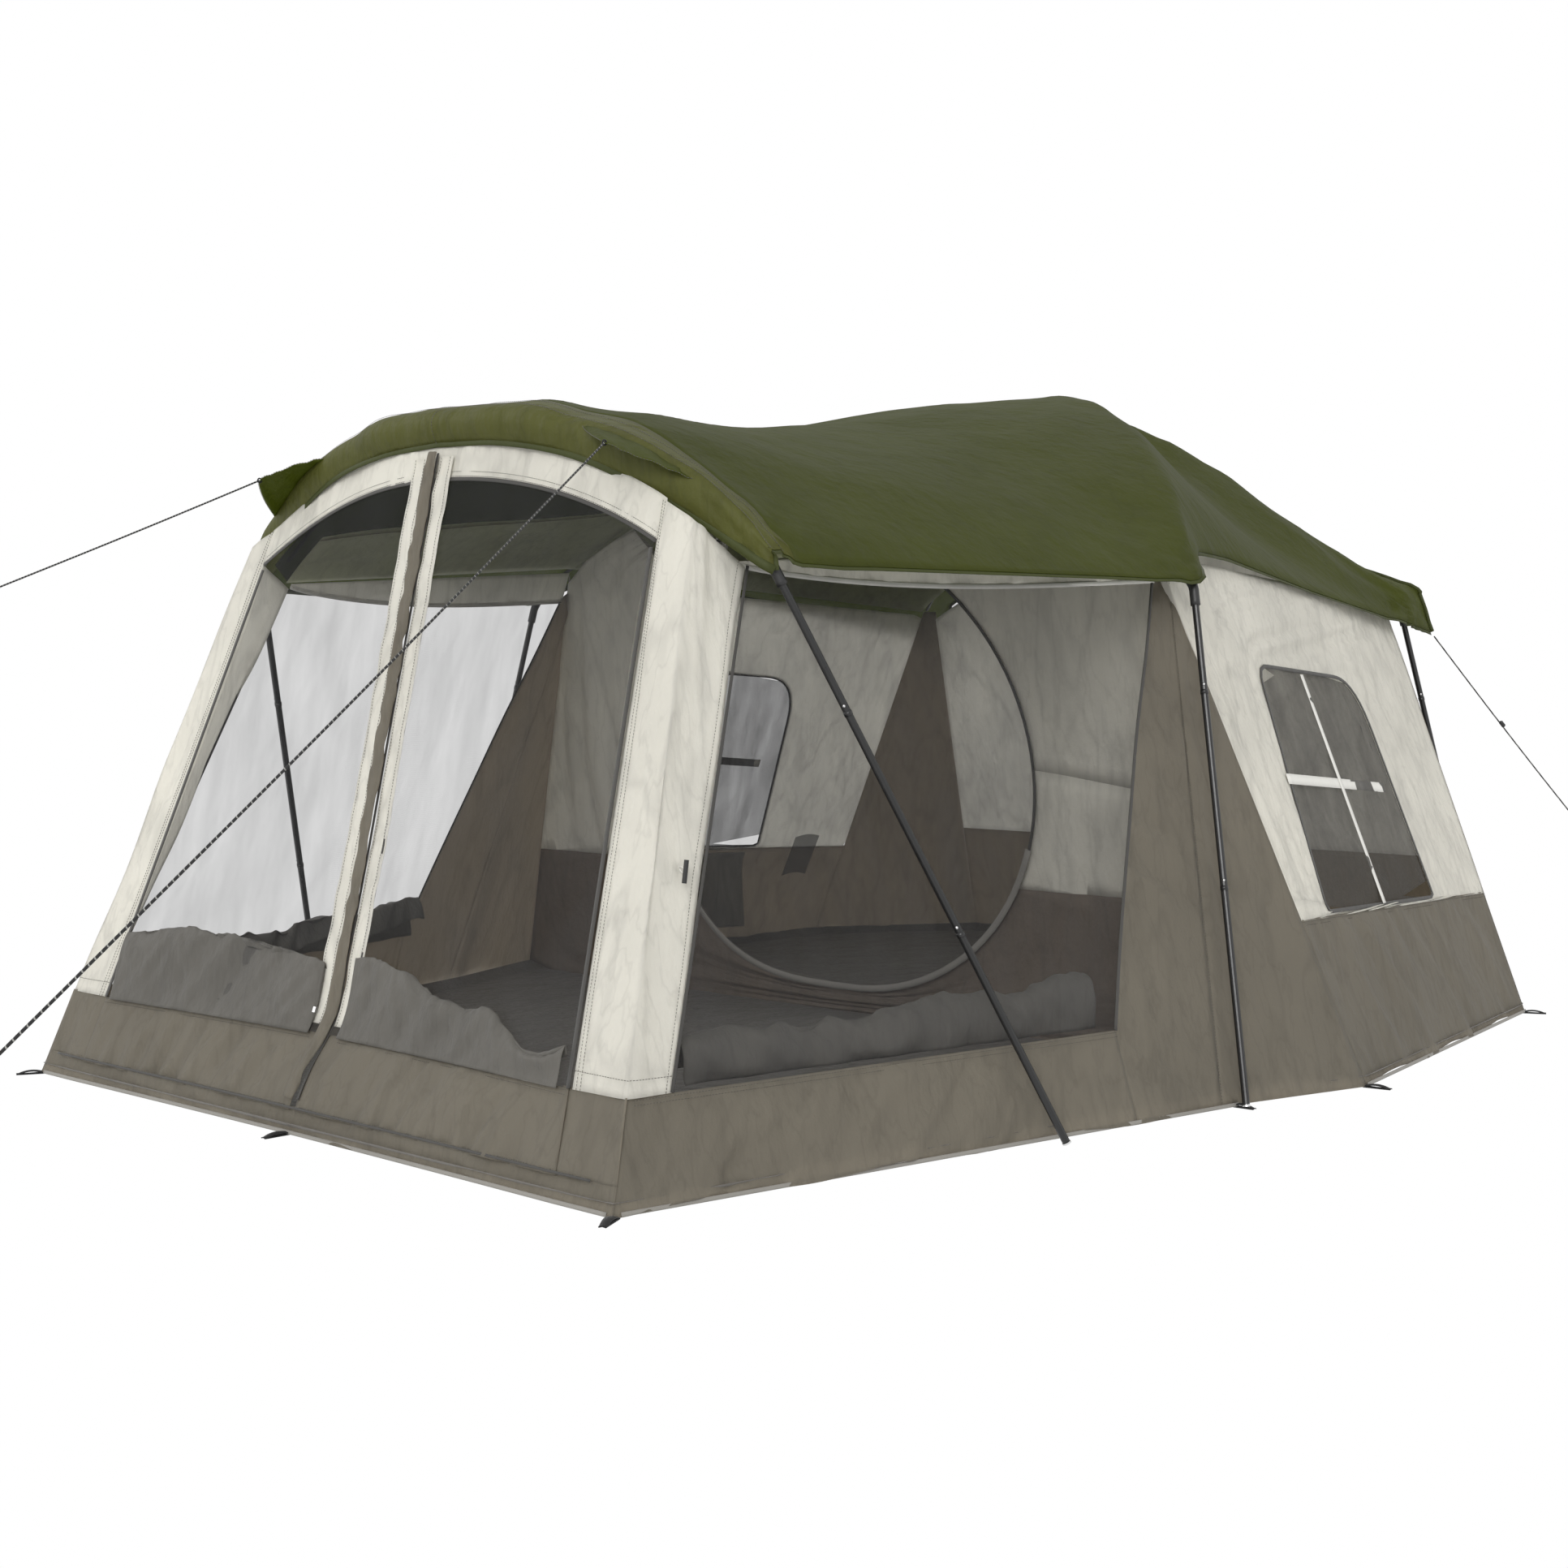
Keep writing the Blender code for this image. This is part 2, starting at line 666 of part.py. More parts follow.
def side_storm_flap(side_name, side):
    """The storm flap of a side screen, dropped in folds inside along the foot of the mesh."""
    inside = 0.035
    low = SKIRT_TOP + 0.012
    points = []
    for depth, z in ((0.28, low), (1.42, low), (1.40, low + 0.13), (0.30, low + 0.16)):
        x, d, h = side_point(depth, z)
        points.append(place((x - inside, d, h), side))
    return hinged_cloth(f"side_storm_flap_{side_name}", points, storm_grey(), points[0])


def window_storm_flap(side_name, side):
    """The storm flap of a side window, unzipped and hanging inside below the mesh."""
    corners = [(0.16, 0.43), (0.62, 0.41), (0.60, 0.12), (0.18, 0.13)]
    points = []
    for along, z in corners:
        x, depth, h = window_wall_point(along, z)
        inward = 0.045 + (0.43 - z) * 0.25
        points.append(place((x - inward, depth, h), side))
    return hinged_cloth(f"window_storm_flap_{side_name}", points, storm_grey(), points[0])


def gear_pocket():
    """The dark mesh pocket that hangs inside on the left window wall."""
    points = []
    for along, z in ((0.77, 0.47), (0.91, 0.47), (0.90, 0.25), (0.78, 0.25)):
        x, depth, h = window_wall_point(along, z)
        points.append(place((x - 0.03, depth, h), -1))
    return hinged_cloth("gear_pocket", points, insect_mesh(), points[0])


def corner_toggle(side_name, side):
    """The toggle on the corner panel that ties the rolled side flap."""
    centre = place(side_point(0.335, 0.70), side) + Vector((side * 0.028, -0.006, 0))
    points = [centre - Vector((0, 0.004, 0.026)), centre + Vector((0, 0.004, 0.026))]
    made = rod(f"corner_toggle_{side_name}", [p - centre for p in points], 0.0055, black_plastic())
    made.location = centre
    return made


def guy_line(name, start, end, share, side):
    """A taut guy line from its pull-out on the fly; share is how much of the way to the stake is built."""
    start = place(start, side)
    end = place(end, side)
    points = [start + (end - start) * (share * i / 8) for i in range(9)]
    return rod(name, points, 0.0025, black_cord())


FRONT_PULL = (0.704, 0.436, 1.683)
FRONT_STAKE = (2.393, -2.909, 0.0)
REAR_PULL = (1.10, 4.15, 1.275)
REAR_STAKE = (1.60, 5.43, 0.0)


def guy_line_slider():
    """The plastic runner that tightens the rear guy line."""
    start = place(REAR_PULL)
    end = place(REAR_STAKE)
    run = (end - start).normalized()
    centre = start + (end - start) * 0.25
    profile = [(0.0030, 0.014), (0.0075, 0.010), (0.0075, -0.010), (0.0030, -0.014)]
    return turned("guy_line_slider", profile, centre, run, black_plastic())


# --- The tent -------------------------------------------------------------------------------------
def clear_scene():
    for old in list(bpy.data.objects):
        bpy.data.objects.remove(old)
    bpy.context.scene.collection.children.link(bpy.data.collections.new("screen_house"))


def build_cloth():
    groundsheet()
    front_sill()
    front_arch()
    divider_wall()
    divider_door()
    rear_wall()
    ceiling()
    rain_fly()
    gear_pocket()
    for side_name, side in SIDES.items():
        corner_panel(side_name, side)
        front_door(side_name, side)
        side_screen(side_name, side)
        side_wall(side_name, side)
        window_wall(side_name, side)
        window_screen(side_name, side)
        side_storm_flap(side_name, side)
        window_storm_flap(side_name, side)
        corner_toggle(side_name, side)


def build_frame():
    for side_name, side in SIDES.items():
        for leg_name in LEGS:
            leg(leg_name, side_name, side)
            foot_pin(leg_name, side_name, side)
    front_hoop()
    roof_pole("roof_pole_over", 1, 0.0)
    roof_pole("roof_pole_under", -1, -2 * POLE - 0.001)


def build_lines():
    guy_line("front_guy_line_right", FRONT_PULL, FRONT_STAKE, 0.63, 1)
    guy_line("front_guy_line_left", FRONT_PULL, FRONT_STAKE, 0.19, -1)
    guy_line("rear_guy_line_right", REAR_PULL, REAR_STAKE, 0.62, 1)
    guy_line_slider()
    zip_slider("door_zip_slider", place(front_point(0.0, 0.30)), (0, -FRONT_LEAN, -1))


clear_scene()
build_cloth()
build_frame()
build_lines()
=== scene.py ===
"""Looks of the screen house: cloth, mesh, seams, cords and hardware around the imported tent.

Metres, +Z up. Places on the tent are written (x, depth, z): depth runs back from the front hem line,
x is positive on the tent's right, and mirrored pieces take side = 1 (right) or -1 (left).
"""

import math

import bmesh
import bpy
import numpy as np
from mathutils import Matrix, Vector


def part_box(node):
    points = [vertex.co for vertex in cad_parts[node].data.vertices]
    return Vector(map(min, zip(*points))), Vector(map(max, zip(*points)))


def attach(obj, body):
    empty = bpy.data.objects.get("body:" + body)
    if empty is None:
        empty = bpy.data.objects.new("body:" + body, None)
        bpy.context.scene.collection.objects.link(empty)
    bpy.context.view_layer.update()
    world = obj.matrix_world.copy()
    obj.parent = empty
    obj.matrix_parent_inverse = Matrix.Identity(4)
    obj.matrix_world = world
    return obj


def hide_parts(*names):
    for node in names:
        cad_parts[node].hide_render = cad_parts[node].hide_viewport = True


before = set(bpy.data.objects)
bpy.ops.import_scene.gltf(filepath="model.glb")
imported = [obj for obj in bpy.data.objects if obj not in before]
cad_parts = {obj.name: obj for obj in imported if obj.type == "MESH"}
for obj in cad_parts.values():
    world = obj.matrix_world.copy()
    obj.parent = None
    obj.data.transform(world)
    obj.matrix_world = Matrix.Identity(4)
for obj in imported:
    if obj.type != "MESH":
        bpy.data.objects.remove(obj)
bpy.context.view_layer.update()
BODY = "tent"
SIDES = {"left": -1, "right": 1}

# --- Driving dimensions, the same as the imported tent's ----------------------------------------------
MID_DEPTH = 2.225
FRONT_HALF = 1.18
SIDE_FLARE = 0.227
SIDE_LEAN = 0.3035
FRONT_LEAN = 0.353
SKIRT_TOP = 0.235  # seam on top of the taupe skirt
SILL_TOP = 0.065  # cross zip under the front doors

MID_HEM = (1.585, 1.86, 0.0)
WIDE_HEM = (1.74, 2.33, 0.0)
REAR_SIDE_HEM = (1.58, 3.84, 0.0)
REAR_HEM = (1.14, 4.45, 0.0)
FRONT_EAVE = (0.935, 0.68, 1.395)
MID_EAVE = (1.20, 2.06, 1.50)
REAR_EAVE = (0.98, 3.90, 1.38)
FOLD_TOP = (0.905, 0.53, 1.50)

ARCH_TOP = 1.745
ARCH_DROP = 0.19
ARCH_BAND = 0.105
ARCH_HALF = 0.80
DOOR_CENTRE = (-0.09, 0.85)
DIVIDER_SEAM = 0.48  # top of the taupe foot of the wall between the rooms
REAR_SEAM = 0.47  # top of the rear wall's taupe skirt
REAR_TOP = (0.97, 3.912, 1.37)  # corner of the rear wall at the eave

ROOF_PEAK = 2.10
POLE_LEAN = 0.19
FLY_GAP = 0.022
CEILING_DROP = 0.075
LEGS = {  # foot on the ground, top of the tube, fractions of the length at the two plug joints
    "front": ((1.51, 1.19, 0.012), (1.03, 0.66, 1.40), (0.26, 0.64)),
    "middle": ((1.625, 1.86, 0.012), (1.352, 2.03, 1.385), (0.22, 0.60)),
    "rear": ((1.19, 4.46, 0.012), (1.055, 3.965, 1.37), (0.24, 0.62)),
}
LEG_RADIUS = 0.0098
CORD_RADIUS = 0.0025

FRONT_PULL = (0.704, 0.436, 1.683)
FRONT_STAKE = (2.393, -2.909, 0.0)
REAR_PULL = (1.10, 4.15, 1.275)
REAR_STAKE = (1.60, 5.43, 0.0)

HEM_STATIONS = (  # (x, depth) of the hem corners on the right, and the way each stake loop points
    ((FRONT_HALF, 0.0), (0.5, -1.0)),
    (MID_HEM[:2], (1.0, 0.0)),
    (WIDE_HEM[:2], (1.0, 0.1)),
    (REAR_SIDE_HEM[:2], (1.0, 0.4)),
    (REAR_HEM[:2], (0.4, 1.0)),
)
ZIP_HEIGHTS = (0.0, 0.06, 0.15, 0.25, 0.44, 1.04, 1.745)  # the slack line of the front's centre zip
ZIP_DEPTHS = (0.012, 0.03, 0.075, 0.145, 0.20, 0.345, 0.507)
OUT_OF_FRONT = (0, -0.94, 0.33)  # the way the front wall faces
OUT_OF_SIDE = (0.935, -0.21, 0.28)  # the way the screen room's right wall faces
OUT_OF_WINDOW = (0.93, 0.1, 0.36)  # the way the right window wall faces
CLOTH_THICKNESS = 0.0012
TAPE_THICKNESS = 0.0015
FLY_THICKNESS = 0.0016
WRINKLE_DEPTH = 2.0  # how slack the cloth is as a whole

EAVE_STEPS = 10  # points of a roof section from the eave to the pole, and from there to the centre line
CROWN_STEPS = 16
BROW_ROWS = 13  # rows of the fly's grid in the panel over the door, painted a lighter olive for light shining through it
BROW_SEAM = 8  # the row where the brow is seamed over the hoop
ROOF_MESH_HALF = 0.75  # half width of the dark mesh over the porch


# --- Numbers on the tent ----------------------------------------------------------------------------
def place(point, side=1):
    """A point given as (x, depth, z) in the world's frame, mirrored on the left side."""
    x, depth, z = point
    return np.array((side * x, depth - MID_DEPTH, z))


def facing(outward, side):
    """An outward direction given for the right side, on either side."""
    return np.array((side * outward[0], *outward[1:]))


def through(x, stops, values):
    """A smooth curve through (stops, values), read at x."""
    stops = np.asarray(stops, float)
    values = np.asarray(values, float)
    slopes = np.gradient(values, stops)
    x = np.clip(x, stops[0], stops[-1])
    i = np.clip(np.searchsorted(stops, x, side="right") - 1, 0, len(stops) - 2)
    step = stops[i + 1] - stops[i]
    t = (x - stops[i]) / step
    a = (1 + 2 * t) * (1 - t) ** 2 * values[i] + t * (1 - t) ** 2 * step * slopes[i]
    b = t * t * (3 - 2 * t) * values[i + 1] + t * t * (t - 1) * step * slopes[i + 1]
    return a + b


def mix(a, b, share):
    """a at share 0 and b at share 1."""
    return np.asarray(a) + (np.asarray(b) - np.asarray(a)) * share


def noise(u, v, seed):
    """Smooth noise from -1 to 1 over a plane."""
    table = np.random.default_rng(seed).uniform(-1, 1, (64, 64))
    iu, iv = np.floor(u).astype(int), np.floor(v).astype(int)
    fu, fv = u - iu, v - iv
    su, sv = fu * fu * (3 - 2 * fu), fv * fv * (3 - 2 * fv)
    low = table[iu % 64, iv % 64] * (1 - su) + table[(iu + 1) % 64, iv % 64] * su
    high = table[iu % 64, (iv + 1) % 64] * (1 - su) + table[(iu + 1) % 64, (iv + 1) % 64] * su
    return low * (1 - sv) + high * sv


def resample(points, count):
    """count points spread evenly along a line of points."""
    points = np.asarray(points, float)
    along = np.concatenate([[0], np.cumsum(np.linalg.norm(np.diff(points, axis=0), axis=1))])
    spots = np.linspace(0, along[-1], count)
    return np.stack([np.interp(spots, along, points[:, k]) for k in range(3)], 1)


def arch_z(x):
    """Height of the arch's outer edge over the front doors."""
    return ARCH_TOP - ARCH_DROP * (np.abs(x) / ARCH_HALF) ** 2.2


def door_edge_x(z):
    """Half width of the front doors at a height."""
    return 0.995 - 0.137 * z


def fold_x(z):
    """Half width of the front wall at a height, up to its corner folds."""
    return FRONT_HALF + (FOLD_TOP[0] - FRONT_HALF) * z / FOLD_TOP[2]


def front_depth(x, z):
    """Depth of the front wall: a leaning plane at its sides, steeper and slack along the centre zip."""
    centre = through(z, ZIP_HEIGHTS, ZIP_DEPTHS)
    share = np.clip(np.abs(x) / door_edge_x(z), 0, 1) ** 1.6
    return mix(centre, FRONT_LEAN * z, share)


def front_wall(x, z, out=0.0):
    """World points on the front wall, or in front of it by out."""
    x, z = np.broadcast_arrays(np.asarray(x, float), np.asarray(z, float))
    return np.stack([x, front_depth(x, z) - MID_DEPTH - 0.943 * out, z + 0.333 * out], -1)


def side_wall_at(depth, z, out=0.0, side=1):
    """World points on the side wall of the screen room."""
    depth, z = np.broadcast_arrays(np.asarray(depth, float), np.asarray(z, float))
    x = FRONT_HALF + SIDE_FLARE * depth - SIDE_LEAN * z + 0.935 * out
    return np.stack([side * x, depth - MID_DEPTH - 0.21 * out, z + 0.28 * out], -1)


def window_wall_at(along, z, out=0.0, side=1):
    """World points on the window wall; along is 0 at the divider and 1 at the rear fold."""
    along, z = np.broadcast_arrays(np.asarray(along, float), np.asarray(z, float))
    share = z / MID_EAVE[2]
    front = mix(WIDE_HEM, MID_EAVE, share[..., None])
    rear = mix(REAR_SIDE_HEM, REAR_EAVE, np.minimum(share, 1)[..., None])
    point = mix(front, rear, along[..., None])
    x = point[..., 0] + 0.93 * out
    return np.stack([side * x, point[..., 1] - MID_DEPTH + 0.1 * out, z + 0.36 * out], -1)


def divider_half(z):
    """Half width of the wall between the rooms at a height."""
    return WIDE_HEM[0] + (MID_EAVE[0] - WIDE_HEM[0]) * z / MID_EAVE[2]


def divider_at(x, z, out=0.0):
    """World points on the wall between the rooms."""
    lean = (WIDE_HEM[1] - MID_EAVE[1]) / MID_EAVE[2]
    x, z = np.broadcast_arrays(np.asarray(x, float), np.asarray(z, float))
    return np.stack([x, WIDE_HEM[1] - lean * z - MID_DEPTH - out, z], -1)


# --- Materials --------------------------------------------------------------------------------------
class Look:
    """A node material under construction."""

    def __init__(self, name):
        self.material = bpy.data.materials.new(name)
        self.material.use_nodes = True
        self.tree = self.material.node_tree
        self.shader = self.tree.nodes["Principled BSDF"]
        self.output = self.tree.nodes["Material Output"]
        self.place = self.node("ShaderNodeTexCoord").outputs["Object"]

    def set(self, **values):
        """Sets the main shader's values, given with _ for a space."""
        for name, value in values.items():
            self.shader.inputs[name.replace("_", " ")].default_value = value

    def node(self, kind, **settings):
        """A new node with some of its settings."""
        made = self.tree.nodes.new(kind)
        for key, value in settings.items():
            setattr(made, key, value)
        return made

    def link(self, source, target):
        """Wires one socket to another."""
        self.tree.links.new(source, target)

    def noise(self, scale, detail=3.0, stretch=(1, 1, 1), turn=(0, 0, 0)):
        """Soft noise, drawn out along a turned axis."""
        mapping = self.node("ShaderNodeMapping")
        mapping.inputs["Scale"].default_value = stretch
        mapping.inputs["Rotation"].default_value = turn
        self.link(self.place, mapping.inputs["Vector"])
        made = self.node("ShaderNodeTexNoise")
        made.inputs["Scale"].default_value = scale
        made.inputs["Detail"].default_value = detail
        self.link(mapping.outputs["Vector"], made.inputs["Vector"])
        return made.outputs["Fac"]

    def bands(self, scale, direction):
        """Fine stripes, as of threads."""
        made = self.node("ShaderNodeTexWave", bands_direction=direction)
        made.inputs["Scale"].default_value = scale
        self.link(self.place, made.inputs["Vector"])
        return made.outputs["Fac"]

    def math(self, operation, *values):
        """A sum, product or the like of numbers and sockets."""
        made = self.node("ShaderNodeMath", operation=operation)
        for socket, value in zip(made.inputs, values):
            if isinstance(value, (int, float)):
                socket.default_value = value
            else:
                self.link(value, socket)
        return made.outputs[0]

    def ramp(self, factor, dark, light, low=0.3, high=0.7):
        """A colour between dark and light as factor goes from low to high."""
        made = self.node("ShaderNodeValToRGB")
        made.color_ramp.elements[0].position = low
        made.color_ramp.elements[0].color = (*dark, 1)
        made.color_ramp.elements[1].position = high
        made.color_ramp.elements[1].color = (*light, 1)
        self.link(factor, made.inputs["Fac"])
        return made.outputs["Color"]

    def bump(self, height, strength, distance):
        """Adds relief over any that is there."""
        made = self.node("ShaderNodeBump")
        made.inputs["Strength"].default_value = strength
        made.inputs["Distance"].default_value = distance
        self.link(height, made.inputs["Height"])
        before = self.shader.inputs["Normal"]
        if before.is_linked:
            self.link(before.links[0].from_socket, made.inputs["Normal"])
        self.link(made.outputs["Normal"], before)

    def lines(self, noise, dark, width):
        """Thin darker lines where a noise crosses its middle value."""
        off = self.math("ABSOLUTE", self.math("SUBTRACT", noise, 0.5))
        return self.ramp(off, shade((1, 1, 1), 1 - dark), (1, 1, 1), 0.0, width)

    def painted_crease_shade(self, depth):
        """Painted shade along broad and fine fold lines: 1 between them and less on them."""
        broad = self.noise(6.5, 2.0, (1.0, 1.0, 0.16), (0.6, 0.5, 0.0))
        fine = self.noise(17.0, 3.0, (1.0, 1.0, 0.18), (-0.5, 0.35, 0.0))
        return self.times(self.lines(broad, 0.24 * depth, 0.045), self.lines(fine, 0.20 * depth, 0.035))

    def blend(self, share, first, second):
        """Shows a mix of two shaders; share is a number or a socket."""
        both = self.node("ShaderNodeMixShader")
        if isinstance(share, float):
            both.inputs[0].default_value = share
        else:
            self.link(share, both.inputs[0])
        self.link(first.outputs[0], both.inputs[1])
        self.link(second.outputs[0], both.inputs[2])
        self.link(both.outputs[0], self.output.inputs["Surface"])

    def times(self, first, second):
        """Two colours multiplied."""
        mixed = self.node("ShaderNodeMix")
        mixed.data_type = "RGBA"
        mixed.blend_type = "MULTIPLY"
        mixed.inputs["Factor"].default_value = 1.0
        self.link(first, mixed.inputs[6])
        self.link(second, mixed.inputs[7])
        return mixed.outputs[2]


def shade(colour, factor):
    """A colour made darker or lighter."""
    return tuple(c * factor for c in colour)


def cloth_look(name, colour, roughness=0.7, sheen=0.08, glow=0.18, crinkle=0.35, through=None):
    """Woven polyester: fine weave, soft crinkles with painted shade along their fold lines, uneven dye and
    some light coming through.
    """
    look = Look(name)
    lit_colour = through or colour
    tone = look.noise(2.3, 4.0)
    # Painted shade: the fold lines darken the dyed colour and the colour of the light let through; crinkle
    # also sets the bumps
    painted_crease_shade = look.painted_crease_shade(crinkle)
    dyed = look.times(look.ramp(tone, shade(colour, 0.93), shade(colour, 1.06)), painted_crease_shade)
    look.link(dyed, look.shader.inputs["Base Color"])
    look.set(Roughness=roughness, Sheen_Weight=sheen, Sheen_Roughness=0.5, Specular_IOR_Level=0.3)
    look.bump(look.noise(7.0, 4.0, (1.0, 1.0, 0.32), (0.5, 0.45, 0.0)), crinkle * 1.6, 0.045)
    look.bump(look.noise(30.0, 5.0, (1.0, 1.0, 0.6)), crinkle * 1.6, 0.012)
    weave = look.math("MULTIPLY", look.bands(420.0, "Z"), look.bands(420.0, "DIAGONAL"))
    look.bump(weave, 0.12, 0.0006)
    through_cloth = look.node("ShaderNodeBsdfTranslucent")
    # the light let through is darkened by the same painted fold shade
    lit = look.times(look.ramp(tone, shade(lit_colour, 0.96), shade(lit_colour, 1.03)), painted_crease_shade)
    look.link(lit, through_cloth.inputs["Color"])
    look.link(look.shader.inputs["Normal"].links[0].from_socket, through_cloth.inputs["Normal"])
    look.blend(glow, look.shader, through_cloth)
    return look.material


def mesh_look(name, colour, cover, streaks=0.10):
    """Insect mesh: a fine grid that lets most of the view through, denser where it is rucked."""
    look = Look(name)
    look.set(Base_Color=(*colour, 1), Roughness=0.85, Specular_IOR_Level=0.1)
    rucks = look.noise(9.0, 4.0, (1.0, 1.4, 0.22), (0.75, 0.0, 0.35))
    grid = look.math("MULTIPLY", look.bands(260.0, "Z"), look.bands(260.0, "Y"))
    dense = look.math("MULTIPLY_ADD", rucks, streaks, cover - streaks * 0.5)
    thread = look.math("MULTIPLY_ADD", grid, 0.06, -0.015)
    amount = look.math("ADD", dense, thread)
    look.blend(amount, look.node("ShaderNodeBsdfTransparent"), look.shader)
    return look.material


def hard_look(name, colour, roughness, metallic=0.0, coat=0.0, wear=0.08):
    """Steel, plastic or fibreglass: uneven gloss with fine scuffs."""
    look = Look(name)
    scuff = look.noise(60.0, 6.0)
    tone = look.ramp(scuff, shade(colour, 1 - wear), shade(colour, 1 + wear))
    look.link(tone, look.shader.inputs["Base Color"])
    look.link(look.math("MULTIPLY_ADD", scuff, 0.2, roughness - 0.1), look.shader.inputs["Roughness"])
    look.set(Metallic=metallic, Coat_Weight=coat)
    look.bump(look.noise(350.0, 2.0), 0.05, 0.0004)
    return look.material


def cord_look(name):
    """Black braid with pale flecks."""
    look = Look(name)
    flecks = look.bands(46.0, "DIAGONAL")
    colour = look.ramp(flecks, (0.012, 0.012, 0.012), (0.30, 0.30, 0.28), 0.90, 0.96)
    look.link(colour, look.shader.inputs["Base Color"])
    look.set(Roughness=0.8)
    look.bump(look.bands(180.0, "DIAGONAL"), 0.5, 0.001)
    return look.material


TAUPE = cloth_look("taupe_cloth", (0.215, 0.196, 0.158), glow=0.5, through=(0.50, 0.45, 0.38))
# A darker, warmer copy of the taupe for cloth inside the tent: painted shade.
TAUPE_PAINTED_SHADE = cloth_look(
    "taupe_cloth_inside_painted_shade", (0.19, 0.16, 0.13), glow=0.4, through=(0.42, 0.34, 0.28),
)
CREAM = cloth_look("cream_cloth", (0.80, 0.78, 0.71), glow=0.52, through=(0.93, 0.92, 0.88))
OLIVE = cloth_look(
    "olive_fly_cloth", (0.058, 0.068, 0.006), 0.6, 0.0, glow=0.42, crinkle=0.25, through=(0.26, 0.31, 0.03),
)
# The brow is a lighter copy of the fly's olive: painted light, for light shining through the panel over the
# door.
OLIVE_BROW_PAINTED_LIGHT = cloth_look(
    "olive_brow_cloth_painted_light", (0.100, 0.104, 0.022), 0.5, 0.0, glow=0.42, crinkle=0.4, through=(0.36, 0.38, 0.10),
)
OLIVE_TRIM = cloth_look("olive_trim", (0.040, 0.048, 0.009), 0.6, 0.0, glow=0.10, crinkle=0.15)
STORM = cloth_look(
    "storm_flap_cloth", (0.135, 0.128, 0.113), 0.6, 0.1, glow=0.35, through=(0.29, 0.28, 0.25),
)
ROOF_CLOTH = cloth_look("ceiling_cloth", (0.42, 0.42, 0.33), glow=0.6, through=(0.88, 0.90, 0.72))
FLOOR_CLOTH = cloth_look("floor_cloth", (0.125, 0.117, 0.105), 0.5, 0.05, glow=0.0)
PIPING = cloth_look("white_piping", (0.62, 0.61, 0.57), glow=0.0, crinkle=0.1)
DARK_TAPE = cloth_look("dark_zip_tape", (0.050, 0.048, 0.044), glow=0.0, crinkle=0.1)
ZIP_TAPE = cloth_look("grey_zip_tape", (0.22, 0.21, 0.19), glow=0.0, crinkle=0.1)
WEBBING = cloth_look("black_webbing", (0.012, 0.012, 0.012), 0.75, 0.1, glow=0.0, crinkle=0.1)
THREAD = cloth_look("dark_thread", (0.10, 0.093, 0.078), glow=0.0, crinkle=0.0)
SCREEN = mesh_look("insect_screen", (0.060, 0.060, 0.062), 0.23, 0.30)
ROOF_SCREEN = mesh_look("roof_screen", (0.012, 0.012, 0.011), 0.80)
WINDOW_SCREEN = mesh_look("window_screen", (0.060, 0.057, 0.052), 0.70, 0.5)
WINDOW_FLAP = cloth_look(
    "window_flap_cloth", (0.34, 0.325, 0.29), 0.6, glow=0.4, through=(0.62, 0.60, 0.55),
)
POCKET_SCREEN = mesh_look("pocket_screen", (0.03, 0.03, 0.03), 0.72)
BLACK_STEEL = hard_look("black_enamel_steel", (0.006, 0.006, 0.006), 0.32, 0.0, 0.1)
FIBREGLASS = hard_look("grey_fibreglass", (0.05, 0.05, 0.05), 0.4)
BLACK_PLASTIC = hard_look("black_plastic", (0.014, 0.014, 0.014), 0.45)
BRIGHT_STEEL = hard_look("bright_steel", (0.70, 0.70, 0.70), 0.3, 1.0)
CORD = cord_look("braided_black_cord")

LEG_NODES = {name: [f"{name}_leg_upper_{side}" for side in SIDES] for name in LEGS}
ROOF_NODES = ["front_hoop", "roof_pole_over", "roof_pole_under"]


# --- Builders ---------------------------------------------------------------------------------------
def link_to_scene(name, data):
    """A new object in the scene."""
    made = bpy.data.objects.new(name, data)
    bpy.context.scene.collection.objects.link(made)
    return made


def add_object(name, points, faces, look, body=BODY, replaces=()):
    """A smooth mesh piece that rides on a body, and stands for the nodes it replaces."""
    data = bpy.data.meshes.new(name)
    data.from_pydata([tuple(map(float, p)) for p in points], [], faces)
    data.polygons.foreach_set("use_smooth", [True] * len(data.polygons))
    data.materials.append(look)
    data.update()
    made = link_to_scene(name, data)
    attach(made, body)
    if replaces:
        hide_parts(*replaces)
    return made


def thicken(made, thickness):
    """Gives a cloth piece its thickness; a see-through mesh has none."""
    if thickness:
        solid = made.modifiers.new("thickness", "SOLIDIFY")
        solid.thickness = thickness
        solid.offset = 0.0


def unit_grid(rows, columns):
    """Shares from 0 to 1 across and up a grid."""
    u, v = np.linspace(0, 1, columns)[None, :], np.linspace(0, 1, rows)[:, None]
    return np.broadcast_arrays(u, v)


def grid_faces(rows, columns, start=0):
    """The quads of a grid of points."""
    faces = []
    for i in range(rows - 1):
        for j in range(columns - 1):
            a = start + i * columns + j
            faces.append((a, a + 1, a + columns + 1, a + columns))
    return faces


def normals_of(grid):
    """The normal at each point of a grid."""
    across = np.gradient(grid, axis=1)
    along = np.gradient(grid, axis=0)
    normal = np.cross(across, along)
    length = np.linalg.norm(normal, axis=-1, keepdims=True)
    return normal / np.maximum(length, 1e-9)


